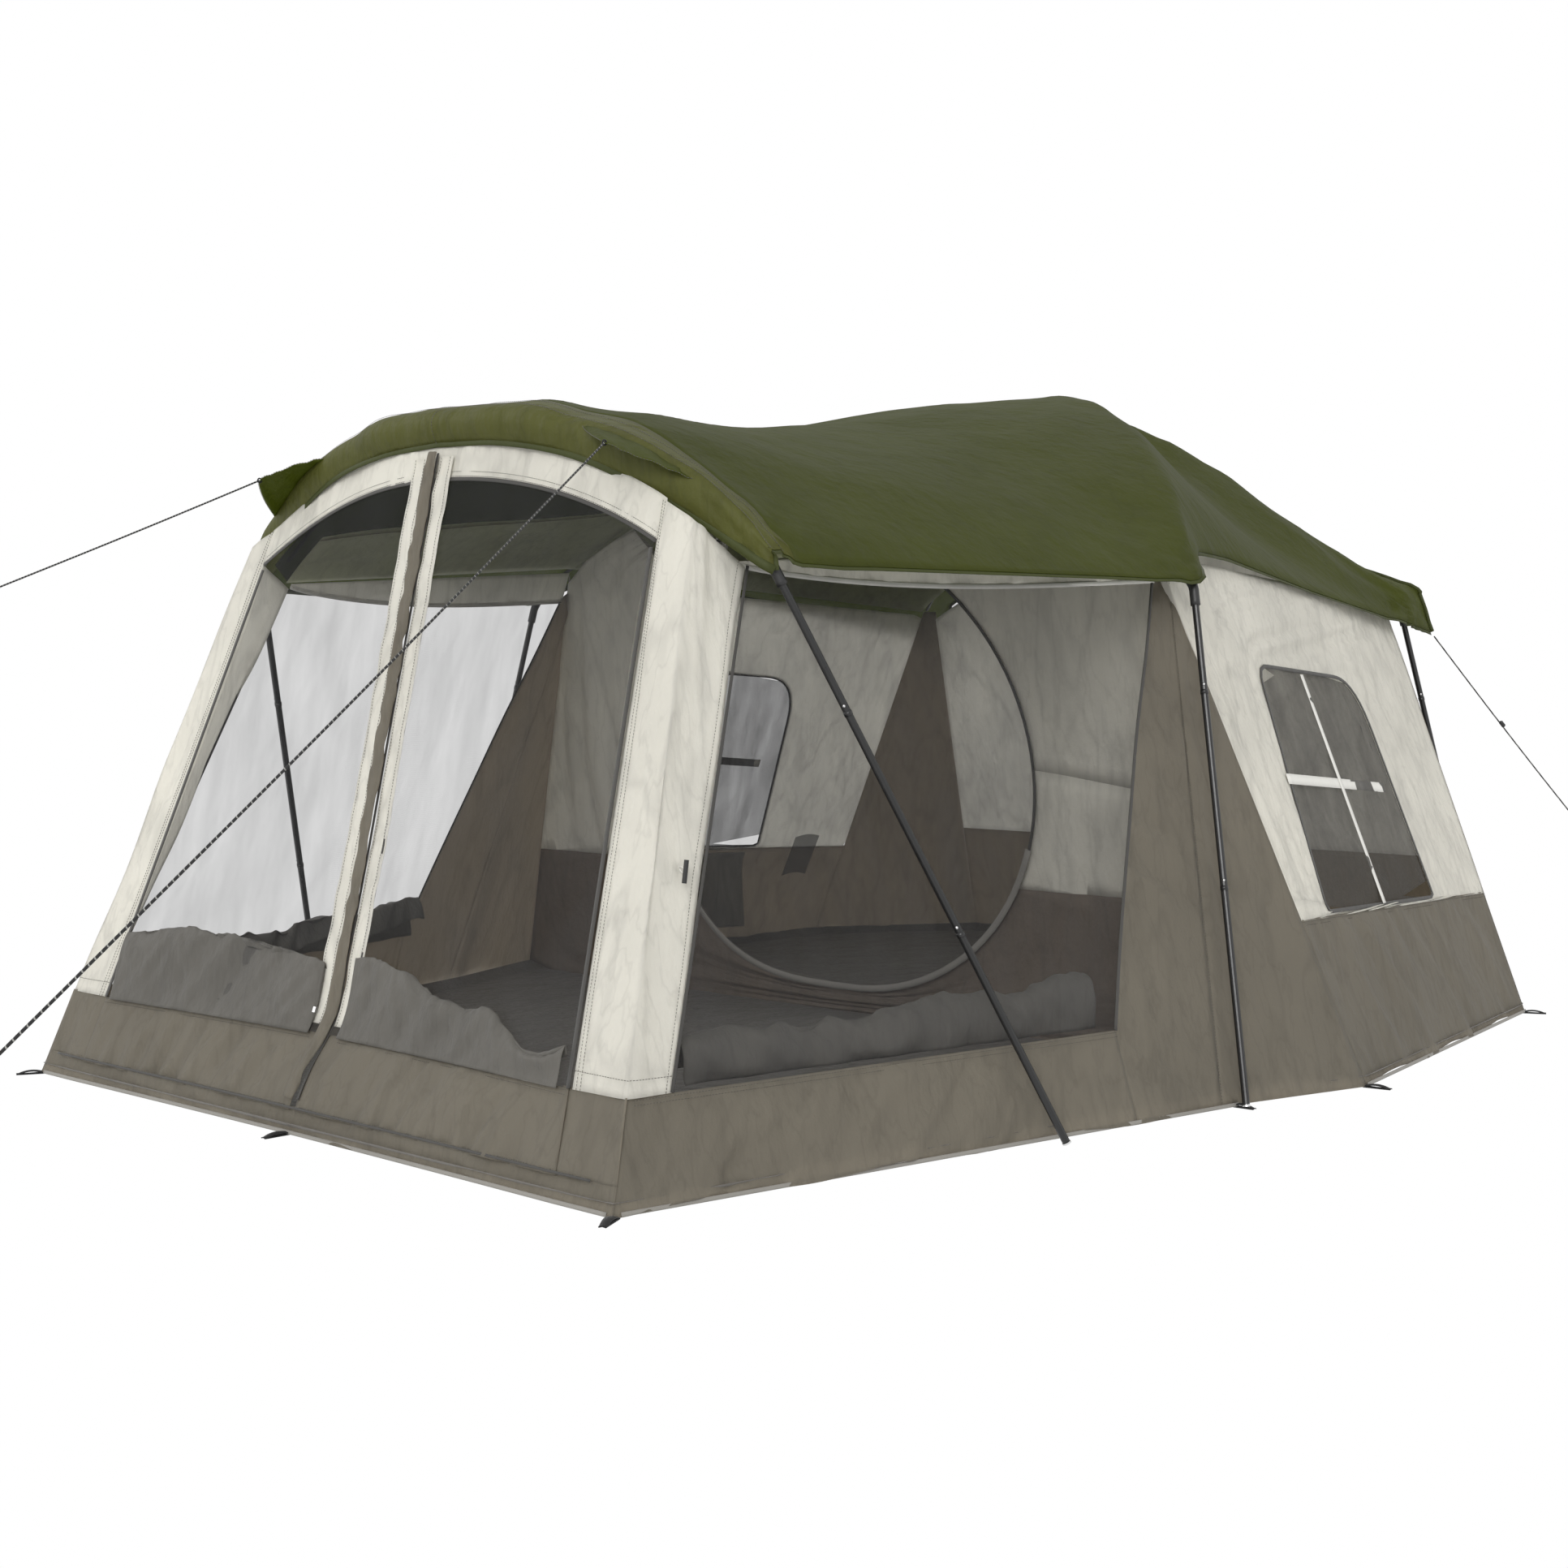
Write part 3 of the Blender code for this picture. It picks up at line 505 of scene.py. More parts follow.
def coons(bottom, top, left=None, right=None, rows=40, columns=40):
    """A surface between four lines; bottom and top run the same way, left and right run up."""
    bottom = resample(bottom, columns)
    top = resample(top, columns)
    left = resample(left if left is not None else [bottom[0], top[0]], rows)
    right = resample(right if right is not None else [bottom[-1], top[-1]], rows)
    u, v = (share[..., None] for share in unit_grid(rows, columns))
    ruled = mix(bottom[None], top[None], v) + mix(left[:, None], right[:, None], u)
    return ruled - mix(mix(bottom[0], bottom[-1], u), mix(top[0], top[-1], u), v)


def pinned(shape, margin=0.12, edges="lrbt"):
    """How free each point of a grid is to move: 0 along the sewn edges, 1 inside."""
    u, v = unit_grid(*shape)
    free = np.ones(shape)
    for edge, distance in zip("lrbt", (u, 1 - u, v, 1 - v)):
        if edge in edges:
            free = free * np.clip(distance / margin, 0, 1) ** 0.7
    return free


def ruck(grid, seed, height, long=0.5, narrow=0.07, slant=0.0, edges="lrbt", margin=0.12):
    """Long soft wrinkles across a cloth grid, pinned at its sewn edges."""
    step_u = np.linalg.norm(np.diff(grid, axis=1), axis=-1)
    step_v = np.linalg.norm(np.diff(grid, axis=0), axis=-1)
    u = np.concatenate([np.zeros((grid.shape[0], 1)), np.cumsum(step_u, axis=1)], 1)
    v = np.concatenate([np.zeros((1, grid.shape[1])), np.cumsum(step_v, axis=0)], 0)
    a = u * math.cos(slant) + v * math.sin(slant)
    b = -u * math.sin(slant) + v * math.cos(slant)
    bend = 0.35 * narrow * noise(a / (narrow * 3) + 9, b / long, seed + 5)
    waves = noise((a + bend) / narrow, b / long, seed)
    waves = waves + 0.45 * noise(a / (narrow * 0.45), b / (long * 0.6), seed + 1)
    broad = noise(a / (narrow * 4), b / long, seed + 2)
    lift = WRINKLE_DEPTH * height * (0.7 * waves + 0.7 * broad)
    return grid + normals_of(grid) * (lift * pinned(waves.shape, margin, edges))[..., None]


def fan(grid, corner, height, reach, count, seed):
    """Tension wrinkles that spread from a pulled corner."""
    away = grid - np.asarray(corner)
    distance = np.linalg.norm(away, axis=-1)
    normal = normals_of(grid)
    middle = normal.reshape(-1, 3).mean(0)
    side = np.cross(middle, away[grid.shape[0] // 2, grid.shape[1] // 2])
    side = side / max(np.linalg.norm(side), 1e-9)
    angle = np.arcsin(np.clip((away @ side) / np.maximum(distance, 1e-6), -1, 1))
    strength = np.exp(-distance / reach) * np.clip(distance / 0.03, 0, 1)
    waves = noise(angle * count / 3 + 20, distance * 0 + 3.3, seed)
    return grid + normal * (height * strength * waves)[..., None]


def nearest_frame(grid):
    """The poles or legs that hold a piece of cloth, from where it lies."""
    middle = grid.reshape(-1, 3).mean(0)
    if middle[2] > 1.45:
        return ROOF_NODES
    tops = {name: abs(LEGS[name][1][1] - MID_DEPTH - middle[1]) for name in LEGS}
    return LEG_NODES[min(tops, key=tops.get)]


def cloth(name, grid, look, body=BODY, replaces=(), flat=None, thickness=CLOTH_THICKNESS):
    """A sewn panel of cloth or mesh from a grid of points."""
    rows, columns = grid.shape[:2]
    made = add_object(name, grid.reshape(-1, 3), grid_faces(rows, columns), look, body, replaces)
    thicken(made, thickness)
    if flat is None:
        width = np.linalg.norm(np.diff(grid, axis=1), axis=-1).sum(1).max()
        length = np.linalg.norm(np.diff(grid, axis=0), axis=-1).sum(0).max()
        flat = (float(width), float(length))
    nearest_frame(grid)
    return made


def directions(line):
    """The unit direction at each point of a line."""
    along = np.gradient(line, axis=0)
    return along / np.maximum(np.linalg.norm(along, axis=1, keepdims=True), 1e-9)


def ribbon_grid(line, outward, width, lift=0.0, curl=0.0, columns=3):
    """A strip of tape along a line, lying against a surface whose outward direction is given."""
    line = np.asarray(line, float)
    outward = np.broadcast_to(np.asarray(outward, float), line.shape)
    along = directions(line)
    across = np.cross(along, outward)
    across /= np.maximum(np.linalg.norm(across, axis=1, keepdims=True), 1e-9)
    out = np.cross(across, along)
    strips = []
    for share in np.linspace(-0.5, 0.5, columns):
        dip = curl * 4 * share * share
        strips.append(line + across * (width * share) + out * (lift - dip))
    return np.stack(strips, 1)


def join_grids(name, grids, look, body=BODY, thickness=TAPE_THICKNESS):
    """Several strips as one trim piece."""
    points, faces = [], []
    for grid in grids:
        rows, columns = grid.shape[:2]
        faces += grid_faces(rows, columns, len(points))
        points += list(grid.reshape(-1, 3))
    thicken(add_object(name, points, faces, look, body), thickness)


def tube_mesh(line, radius, sides=8):
    """Points and faces of a capped tube along a line."""
    line = np.asarray(line, float)
    along = directions(line)
    guide = np.array((0.0, 0.0, 1.0))
    if abs(along[0] @ guide) > 0.9:
        guide = np.array((1.0, 0.0, 0.0))
    points, faces = [], []
    for i, centre in enumerate(line):
        guide = guide - along[i] * (guide @ along[i])
        guide /= np.linalg.norm(guide)
        other = np.cross(along[i], guide)
        for k in range(sides):
            turn = 2 * math.pi * k / sides
            points.append(centre + radius * (math.cos(turn) * guide + math.sin(turn) * other))
    for i in range(len(line) - 1):
        for k in range(sides):
            a, b = i * sides + k, i * sides + (k + 1) % sides
            faces.append((a, b, b + sides, a + sides))
    faces.append(tuple(range(sides))[::-1])
    last = (len(line) - 1) * sides
    faces.append(tuple(last + k for k in range(sides)))
    return points, faces


def tubes(name, lines, radius, look, body=BODY, sides=8):
    """Round bars or loops along lines, as one piece."""
    points, faces = [], []
    for line in lines:
        more, rims = tube_mesh(line, radius, sides)
        faces += [tuple(len(points) + i for i in rim) for rim in rims]
        points += more
    return add_object(name, points, faces, look, body)


def stitches(name, lines, look, body=BODY, length=0.005, gap=0.003, radius=0.0007):
    """Rows of thread stitches along seams."""
    dashes = []
    for line in lines:
        line = np.asarray(line, float)
        total = np.linalg.norm(np.diff(line, axis=0), axis=1).sum()
        count = max(2, int(total / (length + gap)))
        fine = resample(line, count * 8 + 1)
        dashes += [fine[i * 8 : i * 8 + 6 : 5] for i in range(count)]
    return tubes(name, dashes, radius, look, body, sides=4)


# --- Camera and cords -------------------------------------------------------------------------------
def make_camera():
    """A slightly high view from the front right corner."""
    data = bpy.data.cameras.new("camera")
    data.lens = 46.735
    data.sensor_width = 36.0
    camera = link_to_scene("camera", data)
    camera.location = (4.228, -5.119, 1.136)
    camera.rotation_euler = (math.radians(86.939), 0.0, math.radians(41.618))
    bpy.context.scene.camera = camera


def knot(name, centre, direction, size):
    """A small trefoil knot with its line along direction."""
    axis = np.asarray(direction, float)
    axis /= np.linalg.norm(axis)
    side = np.cross(axis, (0, 0, 1.0))
    side /= np.linalg.norm(side)
    up = np.cross(side, axis)
    loops = []
    for t in np.linspace(0, 2 * math.pi, 49):
        a = math.sin(t) + 2 * math.sin(2 * t)
        b = math.cos(t) - 2 * math.cos(2 * t)
        c = -math.sin(3 * t)
        loops.append(np.asarray(centre) + size * (a * side + b * up + 1.2 * c * axis) / 3)
    return tubes(name, [np.array(loops)], CORD_RADIUS, CORD)


def guy_line(name, start, end, share, side):
    """A taut braided line that ends in a knot just outside the view."""
    start = place(start, side)
    end = place(end, side)
    points = []
    for t in np.linspace(0, share, 21):
        sag = 0.012 * math.sin(math.pi * t / share) * share
        points.append(start + (end - start) * t - np.array((0, 0, sag)))
    data = bpy.data.curves.new(name, "CURVE")
    data.dimensions = "3D"
    data.bevel_depth = CORD_RADIUS
    data.bevel_resolution = 3
    data.use_fill_caps = True
    line = data.splines.new("POLY")
    line.points.add(len(points) - 1)
    for spot, point in zip(line.points, points):
        spot.co = (*point, 1.0)
    data.materials.append(CORD)
    made = link_to_scene(name + "_cord", data)
    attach(made, BODY)
    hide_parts(name)
    loop = knot(name + "_end_knot", points[-1], end - start, 0.011)


def make_guy_lines():
    """The three lines that the view shows; share is how much of the way to the stake is built."""
    guy_line("front_guy_line_right", FRONT_PULL, FRONT_STAKE, 0.63, 1)
    guy_line("front_guy_line_left", FRONT_PULL, FRONT_STAKE, 0.19, -1)
    guy_line("rear_guy_line_right", REAR_PULL, REAR_STAKE, 0.62, 1)


# --- Roof -------------------------------------------------------------------------------------------
def roof_pole_point(share):
    """A point of the pole from the left middle leg over the crest to the right rear leg."""
    start = (-LEGS["middle"][1][0] + 0.03, LEGS["middle"][1][1] + 0.03, 1.46)
    end = (LEGS["rear"][1][0] - 0.02, LEGS["rear"][1][1] - 0.03, 1.42)
    x, depth, _ = mix(start, end, share)
    cross = start[0] / (start[0] - end[0])
    if share < cross:
        foot, bow = start[2], 1 - (1 - share / cross) ** 2.1
    else:
        foot, bow = end[2], 1 - ((share - cross) / (1 - cross)) ** 1.15
    return (x, depth + POLE_LEAN * bow, foot + (ROOF_PEAK - foot) * bow)


POLE_LINE = np.array([roof_pole_point(share) for share in np.linspace(0, 1, 121)])


def pole_beside(depth):
    """The poles' distance from the centre line and their height, at a depth."""
    half = np.interp(depth, POLE_LINE[:, 1], np.abs(POLE_LINE[:, 0]))
    return float(half), float(np.interp(depth, POLE_LINE[:, 1], POLE_LINE[:, 2]))


def crown_height(depth):
    """Height of the fly over the centre line."""
    depths = [0.50, 0.60, 0.72, 0.85, 1.10, 1.50, 1.95, 2.50, 3.00, 3.28, 3.60, 3.90, 4.12]
    heights = [1.835, 1.856, 1.868, 1.872, 1.852, 1.862, 1.915, 2.02, 2.10, 2.122, 1.98, 1.79, 1.65]
    return float(through(depth, depths, heights))


def fly_eave(depth):
    """Half width and height of the fly's edge."""
    depths = [0.50, 0.66, 2.03, 2.10, 2.24, 2.52, 3.16, 3.54, 3.87, 4.12]
    halves = [0.98, 1.075, 1.378, 1.33, 1.235, 1.185, 1.13, 1.115, 1.11, 1.10]
    heights = [1.46, 1.395, 1.397, 1.44, 1.49, 1.482, 1.405, 1.36, 1.325, 1.29]
    return float(np.interp(depth, depths, halves)), float(np.interp(depth, depths, heights))


def ceiling_eave(depth):
    """Half width and height of the ceiling's edge, just over the walls."""
    halves, depths, heights = zip(FRONT_EAVE, MID_EAVE, REAR_EAVE)
    heights = [z + 0.016 for z in heights]
    return float(np.interp(depth, depths, halves)), float(np.interp(depth, depths, heights))


def roof_section(depth, eave, crown, pole_offset):
    """Right half of a cross-section of the roof cloth, from the eave to the centre line."""
    half, low = eave
    ridge, ridge_height = pole_beside(depth)
    ridge += 0.6 * pole_offset
    ridge_height += pole_offset
    ahead = (depth - 0.50) / (LEGS["middle"][1][1] - 0.47)
    if ahead < 1:
        ridge = half * (0.50 + 0.45 * ahead)
    ridge = min(max(ridge, 0.09), half - 0.03)
    arch_height = low + (crown - low) * (1 - (ridge / half) ** 2.3)
    if ahead < 1:
        ridge_height = arch_height + max(0.0, ridge_height - arch_height) * ahead**4
    ridge_height = max(ridge_height, arch_height)
    section = []
    for share in np.linspace(0, 1, EAVE_STEPS)[:-1]:
        section.append((half + (ridge - half) * share, depth, low + (ridge_height - low) * share**0.9))
    for share in np.linspace(1, 0, CROWN_STEPS):
        section.append((ridge * share, depth, crown + (ridge_height - crown) * share**2.0))
    return np.array(section)


def whole_row(right):
    """Both halves of a cross-section, from the left eave to the right."""
    left = right[:-1] * np.array((-1, 1, 1))
    return np.concatenate([left, right[::-1]]) - np.array((0, MID_DEPTH, 0))


def brow_line(stops, heights, depths, section):
    """A cross-section of the brow over the same columns as section."""
    x = section[:, 0]
    return np.stack([x, through(x, stops, depths), through(x, stops, heights)], 1)


def fly_grid():
    """The fly from its front lip over the hoop and the roof poles to the rear flap."""
    halves = np.concatenate([np.linspace(1.055, 0.55, EAVE_STEPS)[:-1], np.linspace(0.55, 0, CROWN_STEPS)])
    base = np.stack([halves, halves * 0, halves * 0], 1)
    stops = [0, 0.25, 0.5, 0.73, 0.9, 1.0, 1.06]
    depths = [0.505, 0.512, 0.532, 0.566, 0.60, 0.625, 0.64]
    lip = brow_line(stops, [1.738, 1.725, 1.675, 1.578, 1.48, 1.415, 1.375], depths, base)
    ridge = brow_line(stops, [1.836, 1.824, 1.776, 1.69, 1.59, 1.50, 1.42], [d - 0.004 for d in depths], base)
    rows = [lip]
    for share in (0.25, 0.5, 0.75):
        belly = mix(lip, ridge, share)
        belly[:, 1] -= 0.018 * math.sin(math.pi * share) * np.clip(1.1 - halves, 0, 1)
        rows.append(belly)
    rows.append(ridge)
    for depth in (0.58, 0.64, 0.70, 0.78, 0.88, 1.0, 1.12, 1.25, 1.4, 1.55, 1.7, 1.85, 1.95, 2.02):
        section = roof_section(depth, fly_eave(depth), crown_height(depth), FLY_GAP)
        blend = np.clip((0.72 - depth) / 0.2, 0, 1)
        rows.append(mix(section, ridge + np.array((0, depth - 0.505, 0)), blend))
    for share in np.linspace(0, 1, 34):
        depth = roof_pole_point(share)[1]
        rows.append(roof_section(depth, fly_eave(depth), crown_height(depth), FLY_GAP))
    for depth in (3.97, 4.02, 4.07, 4.12):
        rows.append(roof_section(depth, fly_eave(depth), crown_height(depth), FLY_GAP))
    return np.array([whole_row(row) for row in rows])


def denser(grid, times_rows, times_columns):
    """The same surface with more points, by smooth interpolation."""
    rows = np.linspace(0, grid.shape[0] - 1, (grid.shape[0] - 1) * times_rows + 1)
    columns = np.linspace(0, grid.shape[1] - 1, (grid.shape[1] - 1) * times_columns + 1)
    for axis, spots in ((0, rows), (1, columns)):
        i = np.clip(np.floor(spots).astype(int), 0, grid.shape[axis] - 2)
        t = (spots - i).reshape([-1 if k == axis else 1 for k in range(3)])
        last = grid.shape[axis] - 1
        p0, p1, p2, p3 = (np.take(grid, np.clip(i + k, 0, last), axis=axis) for k in (-1, 0, 1, 2))
        grid = p1 + 0.5 * t * (p2 - p0 + t * (2 * p0 - 5 * p1 + 4 * p2 - p3 + t * (3 * (p1 - p2) + p3 - p0)))
    return grid


def eased(grid, times):
    """The same sheet with its folds softened; its edges stay where they are."""
    for _ in range(times):
        inner = (grid[1:-1, :-2] + grid[1:-1, 2:] + grid[:-2, 1:-1] + grid[2:, 1:-1]) / 4
        softer = grid.copy()
        softer[1:-1, 1:-1] = mix(grid[1:-1, 1:-1], inner, 0.6)
        grid = softer
    return grid


def make_fly():
    """The olive fly in two panels, with its edge binding and seams."""
    grid = eased(denser(fly_grid(), 2, 2), 12)
    grid = ruck(grid, 11, 0.006, long=0.7, narrow=0.16, slant=0.3, margin=0.05)
    for side in SIDES.values():
        for leg_name, (_, top, _) in LEGS.items():
            grid = fan(grid, place(top, side), 0.010, 0.22, 26, 31 + len(leg_name))
    cloth("rain_fly_cloth", grid[BROW_ROWS:], OLIVE, replaces=("rain_fly",), thickness=FLY_THICKNESS)
    # The brow panel takes the lighter olive copy, which is painted light.
    cloth("rain_fly_brow_cloth", grid[: BROW_ROWS + 1], OLIVE_BROW_PAINTED_LIGHT, thickness=FLY_THICKNESS)
    normal = -normals_of(grid)
    edges = []
    for row, direction in ((0, (0, -1, 0.25)), (-1, (0, 1, 0.3))):
        edges.append(ribbon_grid(grid[row], direction, 0.022, lift=0.0025))
    for column in (0, -1):
        outward = normal[:, column] * (1 if normal[0, column, 2] > 0 else -1)
        edges.append(ribbon_grid(grid[:, column], outward, 0.022, lift=0.0025))
    join_grids("rain_fly_edge_binding", edges, OLIVE_TRIM)
    lines = [grid[BROW_SEAM] + (0, -0.002, 0.003), grid[BROW_SEAM + 3] + (0, 0, 0.003)]
    lines.append(grid[: BROW_SEAM + 1, grid.shape[1] // 2] + (0, -0.003, 0))
    stitches("rain_fly_seam_stitching", lines, THREAD)
    return grid


def make_fly_pull_outs(grid):
    """The stitched triangles where the front guy lines pull on the brow of the fly."""
    ridge = grid[BROW_SEAM - 1]
    for side_name, side in SIDES.items():
        tip = place(FRONT_PULL, side)
        near = ridge[(side * ridge[:, 0] > 0.50) & (side * ridge[:, 0] < 0.88)]
        base = resample(near, 16) + (0, 0.006, -0.004)
        pinch = tip + (base - base.mean(0)) * 0.05
        patch = np.array([mix(base, pinch, share**0.9) for share in np.linspace(0, 1, 12)])
        patch[:, :, 1] -= 0.010 * np.sin(np.linspace(0, math.pi, 12))[:, None]
        patch = ruck(patch, 41, 0.003, long=0.3, narrow=0.03, edges="b", margin=0.1)
        cloth(f"guy_pull_out_{side_name}", patch, OLIVE, thickness=FLY_THICKNESS)
        rims = [patch[:, 0] + (0, -0.002, 0.001), patch[:, -1] + (0, -0.002, 0.001)]
        stitches(f"guy_pull_out_stitching_{side_name}", rims, THREAD)
        turns = np.linspace(0, 2 * math.pi, 17)
        eye = tip + 0.006 * np.stack([turns * 0, -np.cos(turns), np.sin(turns)], 1)
        tubes(f"guy_pull_out_loop_{side_name}", [eye], 0.002, WEBBING)


def ceiling_height(x, depth):
    """Height of the ceiling at a place, from its cross-section there."""
    crown = crown_height(depth) - CEILING_DROP - FLY_GAP
    section = roof_section(depth, ceiling_eave(depth), crown, -CEILING_DROP)[::-1]
    return np.interp(np.abs(x), section[:, 0], section[:, 2])


def ceiling_strip(inner, outer, depths, columns):
    """A lengthwise strip of the ceiling between two distances from the centre line, given at each depth."""
    rows = []
    for depth in depths:
        x = np.linspace(inner, outer(depth), columns)
        rows.append(np.stack([x, x * 0 + depth - MID_DEPTH, ceiling_height(x, depth)], 1))
    return np.array(rows)


def make_ceiling():
    """The roof cloth inside: cloth at the sides, dark mesh in the middle of the porch."""
    porch = np.linspace(0.68, 2.08, 30)
    for side_name, side in SIDES.items():
        strip = ceiling_strip(side * ROOF_MESH_HALF, lambda depth: side * ceiling_eave(depth)[0], porch, 20)
        strip = ruck(strip, 18 + side, 0.006, long=0.5, narrow=0.10)
        cloth(f"porch_ceiling_cloth_{side_name}", strip, ROOF_CLOTH)
        seam = strip[:, 1] + (0, 0, -0.004)
        join_grids(f"porch_ceiling_seam_{side_name}", [ribbon_grid(seam, (0, 0, -1), 0.012)], TAUPE)
    mesh = ceiling_strip(-ROOF_MESH_HALF, lambda depth: ROOF_MESH_HALF, porch, 40)
    cloth("porch_ceiling_screen", mesh, ROOF_SCREEN, thickness=0)
    rows = []
    for depth in np.linspace(2.08, 3.84, 44):
        crown = crown_height(depth) - CEILING_DROP - FLY_GAP
        rows.append(whole_row(roof_section(depth, ceiling_eave(depth), crown, -CEILING_DROP)))
    grid = ruck(np.array(rows), 17, 0.008, long=0.6, narrow=0.12)
    cloth("ceiling_roof_cloth", grid, ROOF_CLOTH, replaces=("ceiling",))
    x = np.linspace(-0.93, 0.93, 61)
    front = np.stack([x, 0.60 + 0.04 * np.abs(x) - MID_DEPTH, arch_z(x) - 0.02 * np.abs(x)], 1)
    back = np.stack([x, x * 0 + porch[0] - MID_DEPTH, ceiling_height(x, porch[0])], 1)
    brow = np.array([mix(front, back, share) for share in np.linspace(0, 1, 8)])
    cloth("ceiling_brow_screen", brow, ROOF_SCREEN, thickness=0)


# --- Front wall -------------------------------------------------------------------------------------
def make_front_arch():
    """The cream band over the doors, with the zip along its lower edge."""
    x = np.linspace(-ARCH_HALF, ARCH_HALF, 121)
    low = arch_z(x) - ARCH_BAND
    grid = np.array([front_wall(x, low + ARCH_BAND * share) for share in np.linspace(0, 1, 14)])
    grid = ruck(grid, 5, 0.0035, long=0.25, narrow=0.035, edges="bt", margin=0.2)
    cloth("front_arch_cloth", grid, CREAM, replaces=("front_arch",))
    stitches("front_arch_stitching", [front_wall(x, low + up, 0.003) for up in (0.008, 0.020)], THREAD)
    hem = front_wall(x, low + 0.001, 0.002)
    join_grids("front_arch_zip_tape", [ribbon_grid(hem, OUT_OF_FRONT, 0.010)], DARK_TAPE)


def make_corner_panel(side_name, side):
    """The cream panel that wraps the front corner, soft at its fold."""
    rows = 70
    z = np.linspace(SKIRT_TOP, arch_z(ARCH_HALF), rows)
    inner = np.stack([side * (door_edge_x(z) + 0.004), FRONT_LEAN * z - MID_DEPTH, z], 1)
    z = np.linspace(SKIRT_TOP, FOLD_TOP[2], rows)
    fold = np.stack([side * fold_x(z), FRONT_LEAN * z - MID_DEPTH, z], 1)
    back = np.linspace(side_wall_at(0.20, SKIRT_TOP, 0, side), place(FRONT_EAVE, side), rows)
    front_part = np.array([np.linspace(a, b, 14) for a, b in zip(inner, fold)])
    side_part = np.array([np.linspace(a, b, 16) for a, b in zip(fold, back)])
    grid = np.concatenate([front_part, side_part[:, 1:]], 1)
    middle = grid[:, 11:17].copy()
    for j in range(11, 17):
        grid[:, j] = mix(grid[:, j], (grid[:, j - 2] + grid[:, j + 2]) / 2, 0.5)
    grid[:, 13] = mix(grid[:, 13], middle[:, 2], 0.5)
    grid = ruck(grid, 61 + side, 0.007, long=0.55, narrow=0.055, slant=0.12, edges="lb", margin=0.15)
    cloth(f"corner_panel_cloth_{side_name}", grid, CREAM, replaces=(f"corner_panel_{side_name}",))
    lift = 0.0025 * np.array((side * 0.25, -0.9, 0.3))
    seams = [line + lift for line in (grid[:, 1], grid[:, 2], grid[2])]
    seams.append(grid[:, -3] + (side * 0.0025, -0.001, 0.001))
    stitches(f"corner_panel_stitching_{side_name}", seams, THREAD)


def door_grid(x_in, z_low, rows, columns):
    """A grid over one front door from the centre tape to the corner panel and up to the arch."""
    u, v = unit_grid(rows, columns)
    jamb = door_edge_x(np.minimum(z_low + (1.62 - z_low) * v, 1.45)) - 0.002
    x = x_in + (jamb - x_in) * u
    top = arch_z(x) - ARCH_BAND - 0.003
    return x, z_low + (top - z_low) * v


def make_front_door(side_name, side):
    """A zipped front door: mesh, grey storm flap fallen in folds and a taupe foot."""
    body = f"front_door_{side_name}"
    x, z = door_grid(0.05, SKIRT_TOP - 0.004, 66, 44)
    grid = ruck(front_wall(side * x, z), 71 + side, 0.010, long=0.8, narrow=0.14, slant=0.5, margin=0.15)
    cloth(f"front_door_screen_{side_name}", grid, SCREEN, body=body, replaces=(body,), thickness=0)
    make_door_flap(side_name, side, body)
    make_door_foot(side_name, side, body)
    rise = np.linspace(SKIRT_TOP, 1.436, 60)
    edge = front_wall(side * (door_edge_x(rise) - 0.007), rise, 0.004)
    inner = front_wall(side * 0.071, np.linspace(SKIRT_TOP, 1.62, 60), 0.004)
    bars = [ribbon_grid(edge, OUT_OF_FRONT, 0.012), ribbon_grid(inner, OUT_OF_FRONT, 0.007)]
    join_grids(f"front_door_zip_{side_name}", bars, DARK_TAPE, body)
    make_centre_tape(side_name, side, body)


FLAP_CRESTS = {  # the slumped top edge of each door's storm flap: distances from the zip, heights
    "left": ((0.06, 0.30, 0.60, 0.80, 0.95), (0.405, 0.435, 0.445, 0.44, 0.405)),
    "right": ((0.06, 0.12, 0.30, 0.50, 0.60, 0.80, 0.95), (0.435, 0.445, 0.405, 0.355, 0.372, 0.30, 0.335)),
}


def make_door_flap(side_name, side, body):
    """The grey storm flap of a front door, unzipped and slumped against the foot of the mesh."""
    share, v = unit_grid(44, 130)
    x = 0.060 + 0.865 * share
    top = through(x, *FLAP_CRESTS[side_name]) + 0.006 * noise(x * 14, x * 0, 82 + side)
    turned = np.clip((v - 0.88) / 0.12, 0, 1)  # the free edge, folded over
    z = SKIRT_TOP - 0.004 + (top - SKIRT_TOP) * np.sin(np.clip(v / 0.88, 0, 1) * math.pi / 2)
    z = z - 0.022 * turned
    slump = np.sin(np.clip(v / 0.9, 0, 1) * math.pi)
    slump = slump * np.clip((x - 0.06) / 0.06, 0, 1) * np.clip((0.95 - x) / 0.06, 0, 1)
    out = 0.014 + 0.010 * slump * (1 + noise(x * 6, v * 2, 83 + side)) - 0.012 * turned
    grid = front_wall(side * x, z) + np.array((0, -0.94, 0.2)) * out[..., None]
    grid = ruck(grid, 84 + side, 0.006, long=0.30, narrow=0.07, slant=-0.7 * side, edges="lrb", margin=0.10)
    grid = ruck(grid, 88 + side, 0.003, long=0.12, narrow=0.03, slant=0.5 * side, edges="lrb", margin=0.08)
    cloth(f"front_door_storm_flap_{side_name}", grid, STORM, body)


